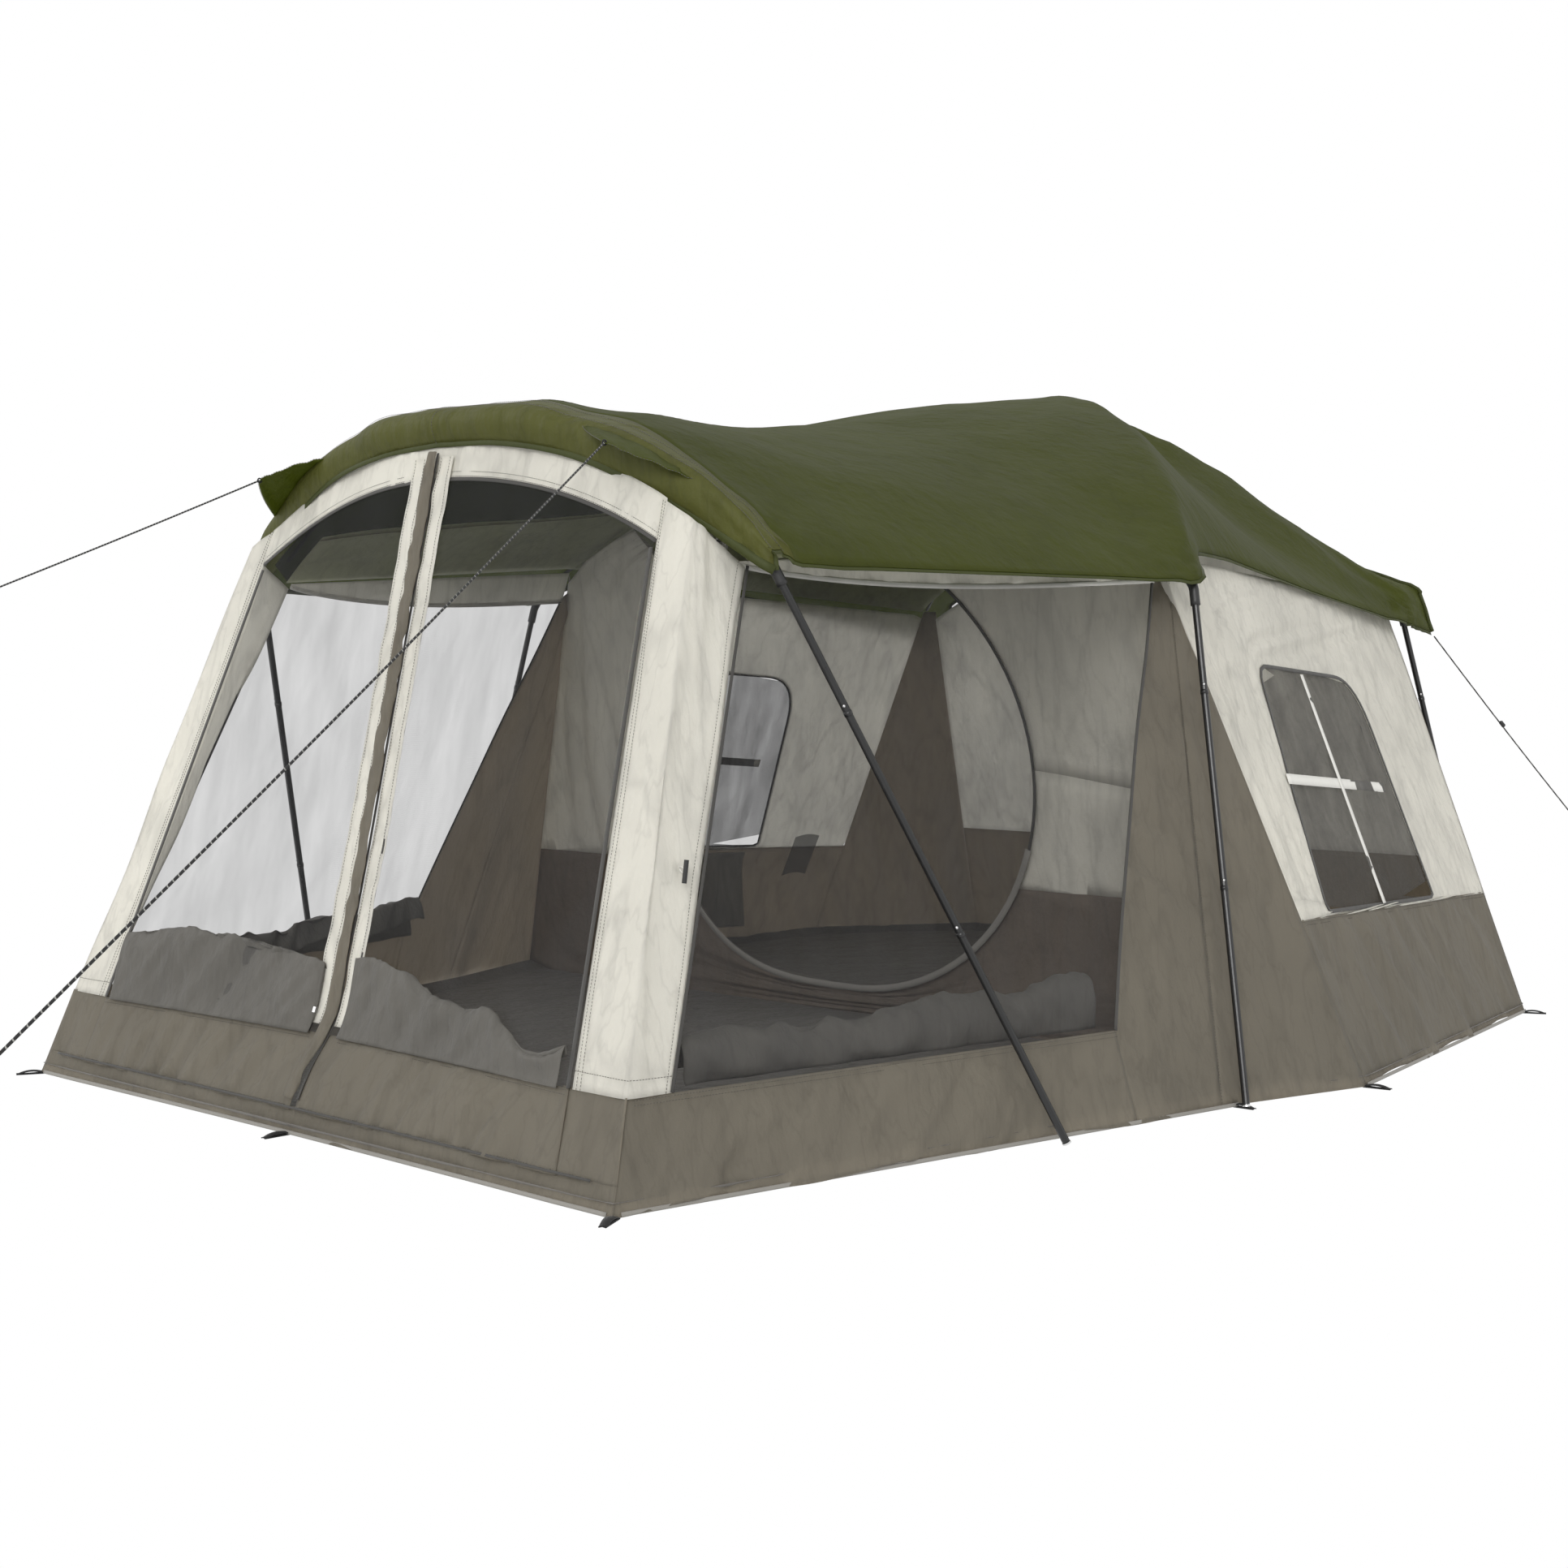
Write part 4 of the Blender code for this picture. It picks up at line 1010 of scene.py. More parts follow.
def make_door_foot(side_name, side, body):
    """The taupe foot of a front door, between the cross zip and the storm flap."""
    share, v = unit_grid(26, 100)
    x = 0.012 + 0.978 * share
    z = mix(SILL_TOP - 0.006, SKIRT_TOP, v)
    grid = front_wall(side * x * (door_edge_x(z) - 0.006) / 0.99, z, 0.002)
    slant = -0.35 * side
    grid = ruck(grid, 91 + side, 0.008, long=0.16, narrow=0.045, slant=slant, edges="lrt", margin=0.2)
    cloth(f"front_door_foot_{side_name}", grid, TAUPE, body=body)
    high = front_wall(side * np.linspace(0.06, 0.955, 60), SKIRT_TOP - 0.004, 0.006)
    low = front_wall(side * np.linspace(0.03, 0.97, 60), SILL_TOP + 0.004, 0.006)
    rows = [high, high - (0, 0.004, 0.01), low]
    stitches(f"front_door_foot_stitching_{side_name}", rows, THREAD, body)


def make_centre_tape(side_name, side, body):
    """The cream tape beside the centre zip."""
    z = np.linspace(SKIRT_TOP + 0.02, 1.70, 90)
    line = front_wall(side * 0.052, z, 0.006)
    line[:, 0] += 0.001 * noise(z * 9, z * 0, 101 + side)
    grid = ribbon_grid(line, OUT_OF_FRONT, 0.056, columns=7)
    grid = ruck(grid, 102 + side, 0.0014, long=0.05, narrow=0.06, slant=0.6, edges="", margin=0.1)
    join_grids(f"front_door_cream_tape_{side_name}", [grid], CREAM, body)
    edges = [grid[:, column] + (0, -0.003, 0) for column in (1, -2)]
    stitches(f"front_door_tape_stitching_{side_name}", edges, THREAD, body)


def make_centre_flap():
    """The slack taupe flap over the centre zip."""
    z = np.linspace(0.085, 1.71, 220)
    x = 0.002 * noise(z * 6, z * 0, 111) - 0.02 * np.clip((0.25 - z) / 0.17, 0, 1)
    line = front_wall(x, z, 0.013)
    grid = ribbon_grid(line, OUT_OF_FRONT, 0.042, columns=11)
    across = np.linspace(-1, 1, 11)[None, :]
    pucker = 0.0055 * noise(z[:, None] * 30 + across * 1.5, across * 2, 112) + 0.005 * (1 - across**2)
    grid = grid + np.array(OUT_OF_FRONT) * pucker[..., None]
    join_grids("centre_zip_flap", [grid], TAUPE, "front_door_left")
    teeth = front_wall(z * 0 + 0.016, z, 0.006)
    join_grids("centre_zip_chain", [ribbon_grid(teeth, OUT_OF_FRONT, 0.008)], DARK_TAPE)


def make_sill():
    """The taupe strip under the cross zip, with the webbing hem."""
    share, v = unit_grid(16, 200)
    z = mix(0.004, SILL_TOP + 0.004, v)
    grid = front_wall((2 * share - 1) * fold_x(z), z)
    grid = ruck(grid, 121, 0.006, long=0.35, narrow=0.08, slant=1.2, edges="lr", margin=0.05)
    grid[..., 2] = np.maximum(grid[..., 2], 0.002)
    cloth("front_sill_cloth", grid, TAUPE, replaces=("front_sill",))
    for side_name, side in SIDES.items():
        z = np.linspace(SILL_TOP, SKIRT_TOP + 0.004, 24)
        inner = front_wall(side * (door_edge_x(z) - 0.035), z, -0.001)
        outer = front_wall(side * fold_x(z), z, 0.0)
        corner = np.array([np.linspace(a, b, 16) for a, b in zip(inner, outer)])
        corner = ruck(corner, 125 + side, 0.003, long=0.2, narrow=0.05, edges="lr")
        cloth(f"front_sill_end_{side_name}", corner, TAUPE)
    low = front_wall(np.linspace(-1.1, 1.1, 160), SILL_TOP, 0.013)
    join_grids("cross_zip_tape", [ribbon_grid(low, (0, -0.9, 0.4), 0.006)], DARK_TAPE)


# --- Side walls -------------------------------------------------------------------------------------
def strip_front_edge(side):
    """The rear edge of a side screen, where the taupe strip starts."""
    z = np.linspace(SKIRT_TOP, 1.41, 60)
    depth = through(z, [SKIRT_TOP, 0.41, 0.78, 0.99, 1.21, 1.41], [1.50, 1.573, 1.74, 1.836, 1.948, 2.04])
    return side_wall_at(depth, z, 0, side)


def strip_rear_edge(side):
    """The seam between the strip and the triangular gusset, under the middle leg."""
    z = np.linspace(0.01, 1.45, 60)
    depth = 1.80 + (2.11 - 1.80) * z / 1.45
    return side_wall_at(depth, z, 0, side)


def eave_line(side):
    """The piped top edge of a side screen, sagging between the corner and the middle leg."""
    share = np.linspace(0, 1, 50)
    depth = FRONT_EAVE[1] + (2.04 - FRONT_EAVE[1]) * share
    z = 1.398 - 0.035 * np.sin(math.pi * share**0.75)
    return side_wall_at(depth, z, 0, side)


def make_side_screen(side_name, side):
    """The mesh of a side wall, its bindings, the piped top edge and the cream band over it."""
    bottom = side_wall_at(np.linspace(0.20, 1.50, 50), SKIRT_TOP, 0, side)
    left = np.linspace(side_wall_at(0.20, SKIRT_TOP, 0, side), place(FRONT_EAVE, side), 50)
    grid = coons(bottom, eave_line(side), left, strip_front_edge(side), 60, 60)
    grid = ruck(grid, 131 + side, 0.010, long=0.9, narrow=0.13, slant=-0.6, margin=0.12)
    cloth(f"side_screen_cloth_{side_name}", grid, SCREEN, replaces=(f"side_screen_{side_name}",), thickness=0)
    outward = facing(OUT_OF_SIDE, side)
    edge = strip_front_edge(side) + outward * 0.002
    front = left + outward * 0.003
    tapes = [ribbon_grid(edge, outward, 0.010), ribbon_grid(front, outward, 0.008)]
    join_grids(f"side_screen_dark_binding_{side_name}", tapes, DARK_TAPE)
    piping = eave_line(side) + outward * 0.004
    piping = ribbon_grid(piping, outward, 0.014, curl=0.003, columns=5)
    join_grids(f"side_screen_piping_{side_name}", [piping], PIPING)
    top = resample([eave_line(side)[0], place(MID_EAVE, side)], 50)
    top[:, 2] = np.linspace(FRONT_EAVE[2] + 0.012, MID_EAVE[2], 50)
    band = coons(eave_line(side), top, rows=8, columns=50)
    band = ruck(band, 135 + side, 0.004, long=0.2, narrow=0.05)
    cloth(f"side_eave_band_{side_name}", band, CREAM)


def make_side_wall(side_name, side):
    """Skirt, strip and triangular gusset of the screen room's side."""
    top = side_wall_at(np.linspace(0.085, 1.50, 80), SKIRT_TOP, 0, side)
    skirt_low = side_wall_at(np.linspace(0.0, 1.50, 80), 0.003, 0, side)
    skirt_low[:, 2] += 0.012 * np.sin(np.linspace(0, 3 * math.pi, 80)) ** 2
    left = np.linspace(skirt_low[0], top[0], 24)
    grid = coons(skirt_low, top, left, None, 26, 110)
    grid = ruck(grid, 141 + side, 0.008, long=0.14, narrow=0.06, slant=-0.3, edges="tlr", margin=0.15)
    cloth(f"side_skirt_{side_name}", grid, TAUPE, replaces=(f"side_wall_{side_name}",))
    front = np.concatenate([skirt_low[-1:], strip_front_edge(side)])
    rear = strip_rear_edge(side)
    grid = coons([front[0], rear[0]], [front[-1], rear[-1]], front, rear, 80, 24)
    grid = ruck(grid, 145 + side, 0.006, long=0.3, narrow=0.04, slant=1.0, edges="lr", margin=0.1)
    cloth(f"side_strip_{side_name}", grid, TAUPE)
    make_side_gusset(side_name, side)
    below = np.linspace(0.1, 1.50, 80)
    rows = [side_wall_at(below, SKIRT_TOP - drop, 0.006, side) for drop in (0.006, 0.016)]
    rows.append(rear + facing(OUT_OF_SIDE, side) * 0.003)
    stitches(f"side_wall_stitching_{side_name}", rows, THREAD)


def make_side_gusset(side_name, side):
    """The taupe triangle between the strip seam and the divider line."""
    rise = np.linspace(0.004, 1.495, 60)
    far = divider_at(side * divider_half(rise), rise)
    seam = np.concatenate([strip_rear_edge(side)[:-1], far[-1:]])
    grid = coons([seam[0], far[0]], [seam[-1], far[-1]], seam, far, 70, 24)
    grid = ruck(grid, 147 + side, 0.006, long=0.5, narrow=0.06, edges="lrt", margin=0.15)
    cloth(f"side_gusset_{side_name}", grid, TAUPE)


def make_side_flap(side_name, side):
    """The storm flap of a side screen, fallen inside in a rucked roll along the foot of the mesh."""
    share, v = unit_grid(34, 120)
    rise = np.clip(v * 1.5, 0, 1)
    fall = np.clip(v - 0.67, 0, 1) / 0.33
    crest = 0.105 + 0.035 * share**4
    crest = crest + 0.016 * noise(share * 9, share * 0, 151) + 0.009 * noise(share * 26, share * 0, 152)
    depth = 0.26 + 1.22 * share
    z = SKIRT_TOP + 0.006 + crest * np.sin(rise * math.pi / 2) - 0.07 * fall
    inside = 0.022 * np.sin(rise * math.pi) + 0.012 * noise(share * 15, v * 2.5, 153)
    inside = inside - 0.050 - 0.045 * fall
    grid = side_wall_at(depth, z, 0, side)
    grid = grid + np.array((side * 0.935, -0.21, 0.1)) * inside[..., None]
    grid = ruck(grid, 154 + side, 0.008, long=0.16, narrow=0.05, slant=0.7, edges="b", margin=0.1)
    body = f"side_storm_flap_{side_name}"
    cloth(f"side_storm_flap_cloth_{side_name}", grid, STORM, body, (body,))


# --- Sleeping room ----------------------------------------------------------------------------------
WINDOW_CORNERS = ((0.125, 0.462, 0.02), (0.685, 0.425, 0.02), (0.668, 1.12, 0.16), (0.235, 1.165, 0.06))
WINDOW_MIDDLE = np.array((0.40, 0.79))
WALL_RUN = 1.75  # metres along the window wall


def window_outline(count=97):
    """The side window as (along, z): a straight foot and rounded shoulders, walked round once."""
    corners = np.array([(along * WALL_RUN, z) for along, z, _ in WINDOW_CORNERS])
    outline = []
    for i, corner in enumerate(corners):
        radius = WINDOW_CORNERS[i][2]
        before = corners[i - 1] - corner
        after = corners[(i + 1) % 4] - corner
        start = corner + before / np.linalg.norm(before) * radius
        end = corner + after / np.linalg.norm(after) * radius
        for t in np.linspace(0, 1, 9):
            outline.append((1 - t) ** 2 * start + 2 * t * (1 - t) * corner + t * t * end)
    outline.append(outline[0])
    line = resample([(a, z, 0.0) for a, z in outline], count)
    return np.stack([line[:, 0] / WALL_RUN, line[:, 1]], 1)


def square_spot(direction):
    """Where a direction from the middle of a square of half width 1 meets its edge."""
    direction = np.asarray(direction)
    reach = 1 / np.abs(direction).max()
    return np.clip(direction * reach, -1, 1)


def make_window_wall(side_name, side):
    """Cream wall over a taupe skirt, with the window's mesh and its crossing tapes."""
    inner = window_outline(145)
    outer = []
    for spot in inner:
        c, s = square_spot((spot - WINDOW_MIDDLE) / (0.28, 0.36))
        along = np.clip(0.5 + 0.5 * c, 0.0, 1.0)
        low = 0.455 - 0.06 * along
        top = 1.475 - 0.09 * along
        outer.append((along, (low + top) / 2 + (top - low) / 2 * s))
    rings = mix(inner, outer, np.linspace(0, 1, 30)[:, None, None] ** 1.1)
    grid = window_wall_at(rings[..., 0], rings[..., 1], 0, side)
    grid = ruck(grid, 161 + side, 0.004, long=0.3, narrow=0.06, edges="bt", margin=0.2)
    grid[:, -1] = grid[:, 0]
    node = f"window_wall_{side_name}"
    cloth(f"window_wall_cloth_{side_name}", grid, CREAM, replaces=(node,), flat=(1.6, 1.0))
    along, v = unit_grid(30, 90)
    low = 0.004 + 0.012 * np.sin(along * 3 * math.pi) ** 2
    skirt = window_wall_at(along, mix(low, 0.459 - 0.06 * along, v), 0, side)
    skirt = ruck(skirt, 165 + side, 0.008, long=0.3, narrow=0.08, slant=0.4, edges="lrt", margin=0.1)
    cloth(f"window_wall_skirt_{side_name}", skirt, TAUPE)
    make_window(side_name, side)
    seam = window_wall_at(along[0], 0.452 - 0.06 * along[0], 0.003, side)
    stitches(f"window_wall_stitching_{side_name}", [seam, seam - (0, 0, 0.010)], THREAD)


def edge_rows(outline, count):
    """Points up the two sides of a closed outline, at the same heights."""
    low, high = outline[:, 1].min(), outline[:, 1].max()
    middle = outline[:, 0].mean()
    sides = []
    for keep in (outline[:, 0] <= middle, outline[:, 0] > middle):
        half = outline[keep]
        half = half[np.argsort(half[:, 1])]
        heights = np.linspace(low, high, count)
        sides.append(np.stack([np.interp(heights, half[:, 1], half[:, 0]), heights], 1))
    return sides


def make_window(side_name, side):
    """The mesh of a side window, its binding and the pale tapes that cross it."""
    edge = window_outline(97)
    front, rear = edge_rows(edge, 30)
    rows = [window_wall_at(np.linspace(a[0], b[0], 24), a[1], -0.002, side) for a, b in zip(front, rear)]
    grid = ruck(np.array(rows), 168 + side, 0.012, long=0.6, narrow=0.07, slant=0.9, margin=0.15)
    node = f"window_screen_{side_name}"
    name = f"window_screen_cloth_{side_name}"
    cloth(name, grid, WINDOW_SCREEN, replaces=(node,), flat=(0.85, 0.75), thickness=0)
    outward = facing(OUT_OF_WINDOW, side)
    rim = window_wall_at(edge[:, 0], edge[:, 1], 0.003, side)
    join_grids(f"window_binding_{side_name}", [ribbon_grid(rim, outward, 0.012)], DARK_TAPE)
    level = window_wall_at(np.linspace(0.17, 0.62, 30), np.linspace(0.835, 0.775, 30), 0.006, side)
    upright = window_wall_at(np.linspace(0.40, 0.41, 30), np.linspace(0.445, 1.135, 30), 0.008, side)
    bars = [ribbon_grid(level, outward, 0.032), ribbon_grid(upright, outward, 0.022)]
    join_grids(f"window_cross_tapes_{side_name}", bars, PIPING)


def rear_wall_at(across, z):
    """World points on the rear wall; across runs from -1 to 1, and the wall stands upright over its eave."""
    half, depth, eave = REAR_TOP
    x = across * mix(REAR_HEM[0], half, np.minimum(z, eave) / eave)
    leaning = mix(REAR_HEM[1], depth, z / eave)
    depth = np.where(z > eave, depth - 0.03 * (z - eave), leaning)
    return np.stack([x, depth - MID_DEPTH, z], -1)


def make_rear_wall():
    """The rear wall and the two folded gussets beside it."""
    for side_name, side in SIDES.items():
        seam = window_wall_at(1.0, np.linspace(0.004, 1.40, 60), 0, side)
        foot = place(REAR_HEM, side) + (0, 0, 0.004)
        eave = place((REAR_TOP[0], REAR_TOP[1], 1.40), side)
        grid = coons([seam[0], foot], [seam[-1], eave], seam, None, 60, 24)
        grid = ruck(grid, 171 + side, 0.006, long=0.6, narrow=0.08, edges="lrt", margin=0.1)
        cloth(f"rear_gusset_{side_name}", grid, TAUPE)
    share, v = unit_grid(24, 110)
    skirt = rear_wall_at(2 * share - 1, mix(0.004, REAR_SEAM, v))
    skirt = ruck(skirt, 175, 0.008, long=0.3, narrow=0.09, edges="lrt", margin=0.05)
    cloth("rear_wall_skirt", skirt, TAUPE)
    share, v = unit_grid(50, 110)
    across = 2 * share - 1
    wall = rear_wall_at(across, mix(REAR_SEAM, REAR_TOP[2] + 0.27 * (1 - across**2), v))
    wall = ruck(wall, 176, 0.008, long=0.7, narrow=0.10, margin=0.08)
    cloth("rear_wall_cloth", wall, CREAM, replaces=("rear_wall",))


def door_outline(grow=0.0):
    """The D-shaped door between the rooms, walked round once."""
    half, rise = 0.82 + grow, 0.755 + grow
    turns = np.linspace(0, 2 * math.pi, 96)
    reach = np.cos(turns)
    reach = np.where(reach < 0, -np.abs(reach) ** 0.6, reach)
    return DOOR_CENTRE[0] + half * reach, DOOR_CENTRE[1] + rise * np.sin(turns)


def make_divider():
    """The wall between the rooms, taupe below and cream above, round the D-shaped mesh door."""
    x_in, z_in = door_outline()
    outer = []
    for t in np.linspace(0, 2 * math.pi, len(x_in)):
        across, share = square_spot((math.cos(t), math.sin(t)))
        z = 0.75 + 0.75 * share
        x = divider_half(z) * across
        if share >= 1:
            z = 1.495 + 0.29 * (1 - (x / 1.2) ** 2)
        outer.append((x, z))
    rings = mix(np.stack([x_in, z_in], 1), outer, np.linspace(0, 1, 30)[:, None, None])
    grid = divider_at(rings[..., 0], rings[..., 1])
    grid = ruck(grid, 181, 0.006, long=0.4, narrow=0.09, edges="bt", margin=0.15)
    grid[:, -1] = grid[:, 0]
    keep_divider_part("divider_wall_cloth", grid, False)
    keep_divider_part("divider_wall_foot", grid, True)
    edge = divider_at(x_in, z_in, 0.006)
    join_grids("divider_door_dark_zip", [ribbon_grid(edge, (0, -1, 0), 0.010)], DARK_TAPE)
    bottom = divider_at(x_in, z_in, 0.010)[z_in < 0.62]
    join_grids("divider_door_pale_zip", [ribbon_grid(bottom, (0, -1, 0), 0.022)], ZIP_TAPE)
    left, right = edge_rows(np.stack(door_outline(-0.008), 1), 60)
    rows = [divider_at(np.linspace(a[0], b[0], 50), a[1]) for a, b in zip(left, right)]
    screen = ruck(np.array(rows), 184, 0.008, long=0.8, narrow=0.12, slant=0.5, margin=0.1)
    node = "divider_door"
    cloth("divider_door_screen", screen, SCREEN, body=node, replaces=(node,), flat=(1.66, 1.52), thickness=0)


def keep_divider_part(name, grid, low_part):
    """Cuts the divider at the top of its taupe foot and keeps the part below or above."""
    rows, columns = grid.shape[:2]
    # The foot inside gets the darker taupe copy, which is painted shade.
    look = TAUPE_PAINTED_SHADE if low_part else CREAM
    replaces = () if low_part else ("divider_wall",)
    made = add_object(name, grid.reshape(-1, 3), grid_faces(rows, columns), look, BODY, replaces)
    cut = bmesh.new()
    cut.from_mesh(made.data)
    bmesh.ops.bisect_plane(
        cut,
        geom=cut.verts[:] + cut.edges[:] + cut.faces[:],
        plane_co=(0, 0, DIVIDER_SEAM),
        plane_no=(0, 0, 1),
        clear_outer=low_part,
        clear_inner=not low_part,
    )
    area = sum(face.calc_area() for face in cut.faces)
    cut.to_mesh(made.data)
    cut.free()
    solid = made.modifiers.new("thickness", "SOLIDIFY")
    solid.thickness = CLOTH_THICKNESS


def make_window_flap(side_name, side):
    """A window's storm flap, unzipped and hanging inside in loose folds."""
    share, v = unit_grid(34, 60)
    along = 0.16 + 0.46 * share
    z = 0.43 - 0.31 * v - 0.02 * share
    inward = 0.045 + 0.078 * v + 0.018 * np.sin(share * 9) * v
    grid = window_wall_at(along, z, 0, side)
    grid[..., 0] -= side * inward
    grid = ruck(grid, 191, 0.014, long=0.4, narrow=0.08, edges="b", margin=0.1)
    body = f"window_storm_flap_{side_name}"
    cloth(f"window_storm_flap_cloth_{side_name}", grid, WINDOW_FLAP, body, (body,))


def make_gear_pocket():
    """The small dark mesh pocket inside the far window wall."""
    share, v = unit_grid(24, 24)
    along = 0.79 + 0.085 * share - 0.01 * v
    z = 0.455 - 0.165 * v + 0.01 * np.sin(share * math.pi)
    grid = window_wall_at(along, z, 0, -1)
    grid[..., 0] += 0.03 + 0.02 * np.sin(share * math.pi) * np.sin(v * math.pi)
    cloth("gear_pocket_screen", grid, POCKET_SCREEN, "gear_pocket", ("gear_pocket",), thickness=0)


def make_floor():
    """The sewn floor, slightly rumpled."""
    inset = 0.006
    halves = [x - inset for (x, _), _ in HEM_STATIONS]
    depths = [depth for (_, depth), _ in HEM_STATIONS]
    depths[0] += inset
    depths[-1] -= inset
    share, v = unit_grid(120, 90)
    depth = mix(depths[0], depths[-1], v)
    x = (2 * share - 1) * np.interp(depth, depths, halves)
    grid = np.stack([x, depth - MID_DEPTH, x * 0 + 0.003], -1)
    y = grid[..., 1]
    lift = 0.006 * np.abs(noise(x * 3, y * 3, 201)) + 0.004 * np.abs(noise(x * 9, y * 7, 202))
    free = pinned(lift.shape, 0.04)
    grid[..., 2] += lift * free + 0.030 * (1 - np.minimum(free * 3, 1))
    cloth("groundsheet_cloth", grid, FLOOR_CLOTH, replaces=("groundsheet",))


def make_stake_tabs():
    """Folded webbing loops at the hem, each with a flat toe."""
    grids = []
    for side in SIDES.values():
        for (x, depth), (out_x, out_depth) in HEM_STATIONS:
            grids += stake_tab(place((x, depth, 0), side), (side * out_x, out_depth))
    grids += stake_tab(place((0, 0.01, 0)), (0, -1.0))
    join_grids("webbing_stake_loops", grids, WEBBING, thickness=0.002)


def stake_tab(root, outward, length=0.075, width=0.026):
    """The two layers of one webbing loop, narrower at its toe."""
    out = np.array((outward[0], outward[1], 0.0))
    out /= np.linalg.norm(out)
    across = np.cross(out, (0, 0, 1.0))
    upper, lower = [], []
    for share in np.linspace(0, 1, 12):
        reach = root + out * (length * share - 0.01)
        squeeze = 1 - 0.35 * share
        rise = 0.007 * math.sin(math.pi * min(1, share * 1.1)) ** 0.8
        for line, height in ((upper, 0.004 + rise), (lower, 0.003)):
            edge = across * width / 2 * squeeze
            spine = reach + (0, 0, height + 0.002)
            line.append([reach - edge + (0, 0, height), spine, reach + edge + (0, 0, height)])
    return [np.array(upper), np.array(lower)]


# --- Hardware ---------------------------------------------------------------------------------------
def dress_cad_nodes():
    """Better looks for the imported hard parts, which are shown as they are."""
    looks = {
        "_leg_": BLACK_STEEL,
        "foot_pin": BRIGHT_STEEL,
        "roof_pole": FIBREGLASS,
        "front_hoop": FIBREGLASS,
        "corner_toggle": BLACK_PLASTIC,
        "guy_line_slider": BLACK_PLASTIC,
        "door_zip_slider": BRIGHT_STEEL,
    }
    for name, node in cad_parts.items():
        for key, look in looks.items():
            if key in name:
                node.data.materials.clear()
                node.data.materials.append(look)


def make_leg_fittings():
    """Elbows, ferrule rings and push buttons on the legs."""
    for leg_name, (foot, top, joints) in LEGS.items():
        for side_name, side in SIDES.items():
            foot_at, top_at = place(foot, side), place(top, side)
            length = np.linalg.norm(foot_at - top_at)
            down = (foot_at - top_at) / length
            spots = [top_at + down * length * joint for joint in joints]
            rings = [[spot - down * 0.014, spot - down * 0.002] for spot in spots]
            tubes(f"{leg_name}_leg_ferrules_{side_name}", rings, LEG_RADIUS + 0.0012, BLACK_STEEL, sides=20)
            outward = np.array((side * 0.55, -0.83, 0.0))
            outward -= down * (outward @ down)
            outward /= np.linalg.norm(outward)
            spots = [top_at + down * (length * joint - 0.028) for joint in joints]
            buttons = [[spot + outward * 0.007, spot + outward * 0.0115] for spot in spots]
            tubes(f"{leg_name}_leg_push_buttons_{side_name}", buttons, 0.0036, BRIGHT_STEEL, sides=12)
            bend = top_at - down * 0.012 + (-side * 0.01, 0, 0)
            elbow = resample([top_at + down * 0.06, top_at + down * 0.01, bend], 8)
            tubes(f"{leg_name}_leg_elbow_{side_name}", [elbow], 0.0135, BLACK_PLASTIC, sides=16)


def make_toggle_loops():
    """The white cord loop each corner toggle is tied with."""
    for side_name, side in SIDES.items():
        low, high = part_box(f"corner_toggle_{side_name}")
        centre = (np.array(low) + np.array(high)) / 2
        reach = np.array((-side * 0.030, 0.010, 0.006))
        bends = np.linspace(0, 1, 9)[:, None]
        swell = np.array((0, 0, 0.006)) * np.sin(bends * math.pi)
        halves = [centre + reach * bends + swell, centre + reach * bends - swell]
        tubes(f"corner_toggle_loop_{side_name}", halves, 0.0018, PIPING)


def make_hem_edging():
    """The pale folded edge under the hem."""
    strips = []
    for side in SIDES.values():
        wall = side_wall_at(np.linspace(0.02, MID_HEM[1], 90), 0.009, 0.004, side)
        strips.append(ribbon_grid(wall, (side, -0.2, 0.2), 0.010))
        wall = window_wall_at(np.linspace(0.0, 1.0, 90), 0.009, 0.004, side)
        strips.append(ribbon_grid(wall, (side, 0.1, 0.2), 0.010))
    front = front_wall(np.linspace(-1.16, 1.16, 140), 0.008, 0.004)
    strips.append(ribbon_grid(front, (0, -1, 0.3), 0.010))
    join_grids("hem_edging", strips, ZIP_TAPE)


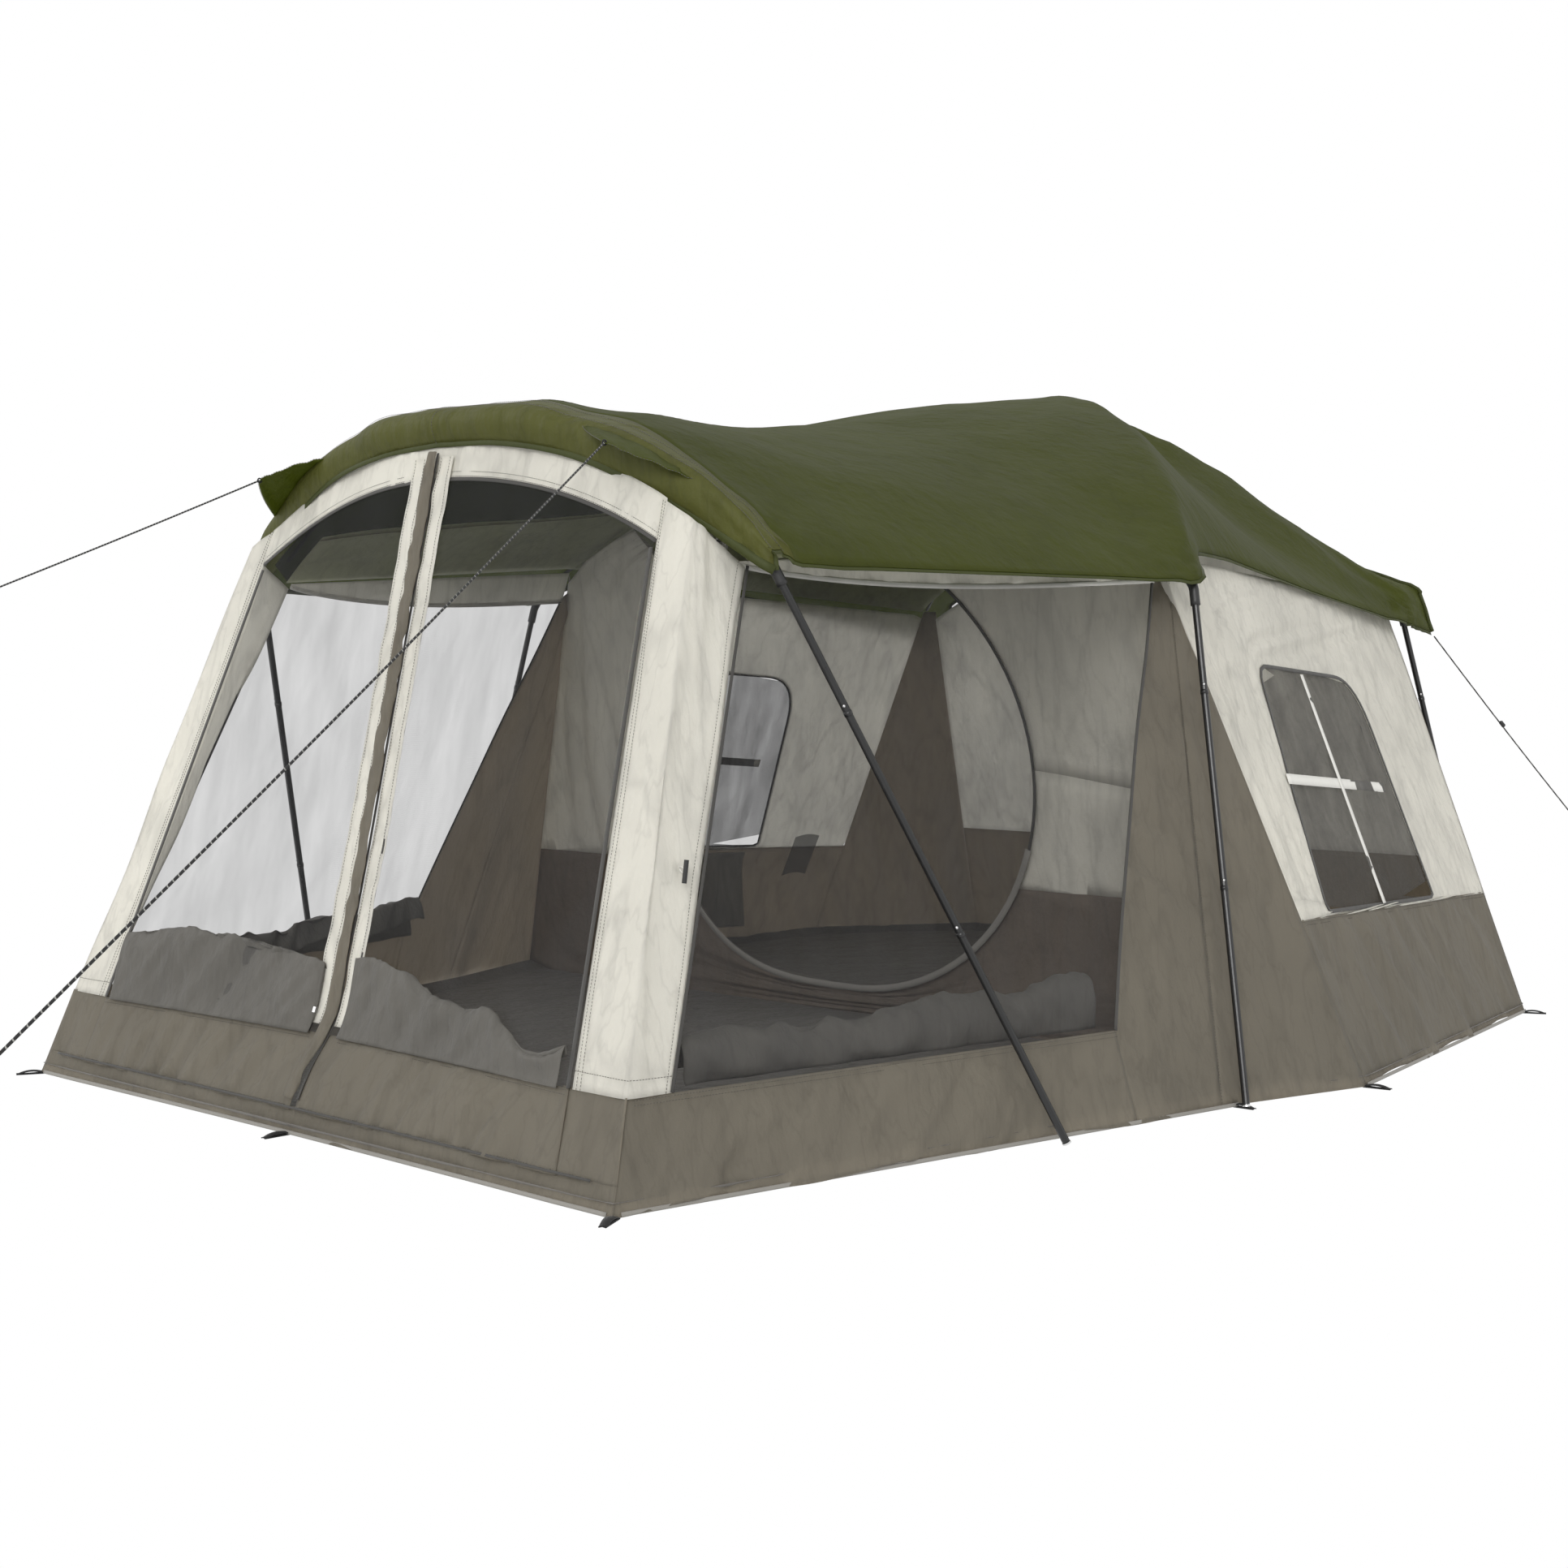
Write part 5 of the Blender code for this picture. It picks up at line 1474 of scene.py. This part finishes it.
# --- Stage ------------------------------------------------------------------------------------------
def make_stage():
    """A plain self-lit white floor and background, with soft light from the front right and the left."""
    floor = bpy.data.meshes.new("studio_floor")
    floor.from_pydata([(-60, -60, 0), (60, -60, 0), (60, 60, 0), (-60, 60, 0)], [], [(0, 1, 2, 3)])
    look = bpy.data.materials.new("studio_white")
    look.use_nodes = True
    glow = look.node_tree.nodes["Principled BSDF"]
    glow.inputs["Base Color"].default_value = (0.0, 0.0, 0.0, 1)
    glow.inputs["Specular IOR Level"].default_value = 0.0
    glow.inputs["Emission Color"].default_value = (1.0, 1.0, 1.0, 1)
    glow.inputs["Emission Strength"].default_value = 1.0
    floor.materials.append(look)
    studio = link_to_scene("studio_floor", floor)
    world = bpy.data.worlds.new("studio")
    bpy.context.scene.world = world
    world.use_nodes = True
    world.node_tree.nodes["Background"].inputs["Color"].default_value = (1, 1, 1, 1)
    world.node_tree.nodes["Background"].inputs["Strength"].default_value = 1.0
    add_sun("key", (-0.45, 0.78, -0.42), 1.5, 30)
    add_sun("left", (0.85, 0.45, -0.5), 0.5, 40)
    bpy.context.scene.view_settings.view_transform = "Standard"


def add_sun(name, direction, strength, softness):
    """An even studio light from very far away, softened over a wide angle."""
    data = bpy.data.lights.new(name, "SUN")
    data.energy = strength
    data.angle = math.radians(softness)
    light = link_to_scene(name, data)
    light.rotation_euler = Vector(direction).to_track_quat("-Z", "Y").to_euler()


# --- The tent ---------------------------------------------------------------------------------------
make_camera()
make_guy_lines()
make_stage()
dress_cad_nodes()
make_leg_fittings()
fly = make_fly()
make_fly_pull_outs(fly)
make_ceiling()
make_front_arch()
make_centre_flap()
make_sill()
make_rear_wall()
make_divider()
make_gear_pocket()
make_floor()
make_stake_tabs()
make_toggle_loops()
make_hem_edging()
for side_name, side in SIDES.items():
    make_corner_panel(side_name, side)
    make_front_door(side_name, side)
    make_side_screen(side_name, side)
    make_side_wall(side_name, side)
    make_side_flap(side_name, side)
    make_window_wall(side_name, side)
    make_window_flap(side_name, side)

bpy.context.view_layer.update()
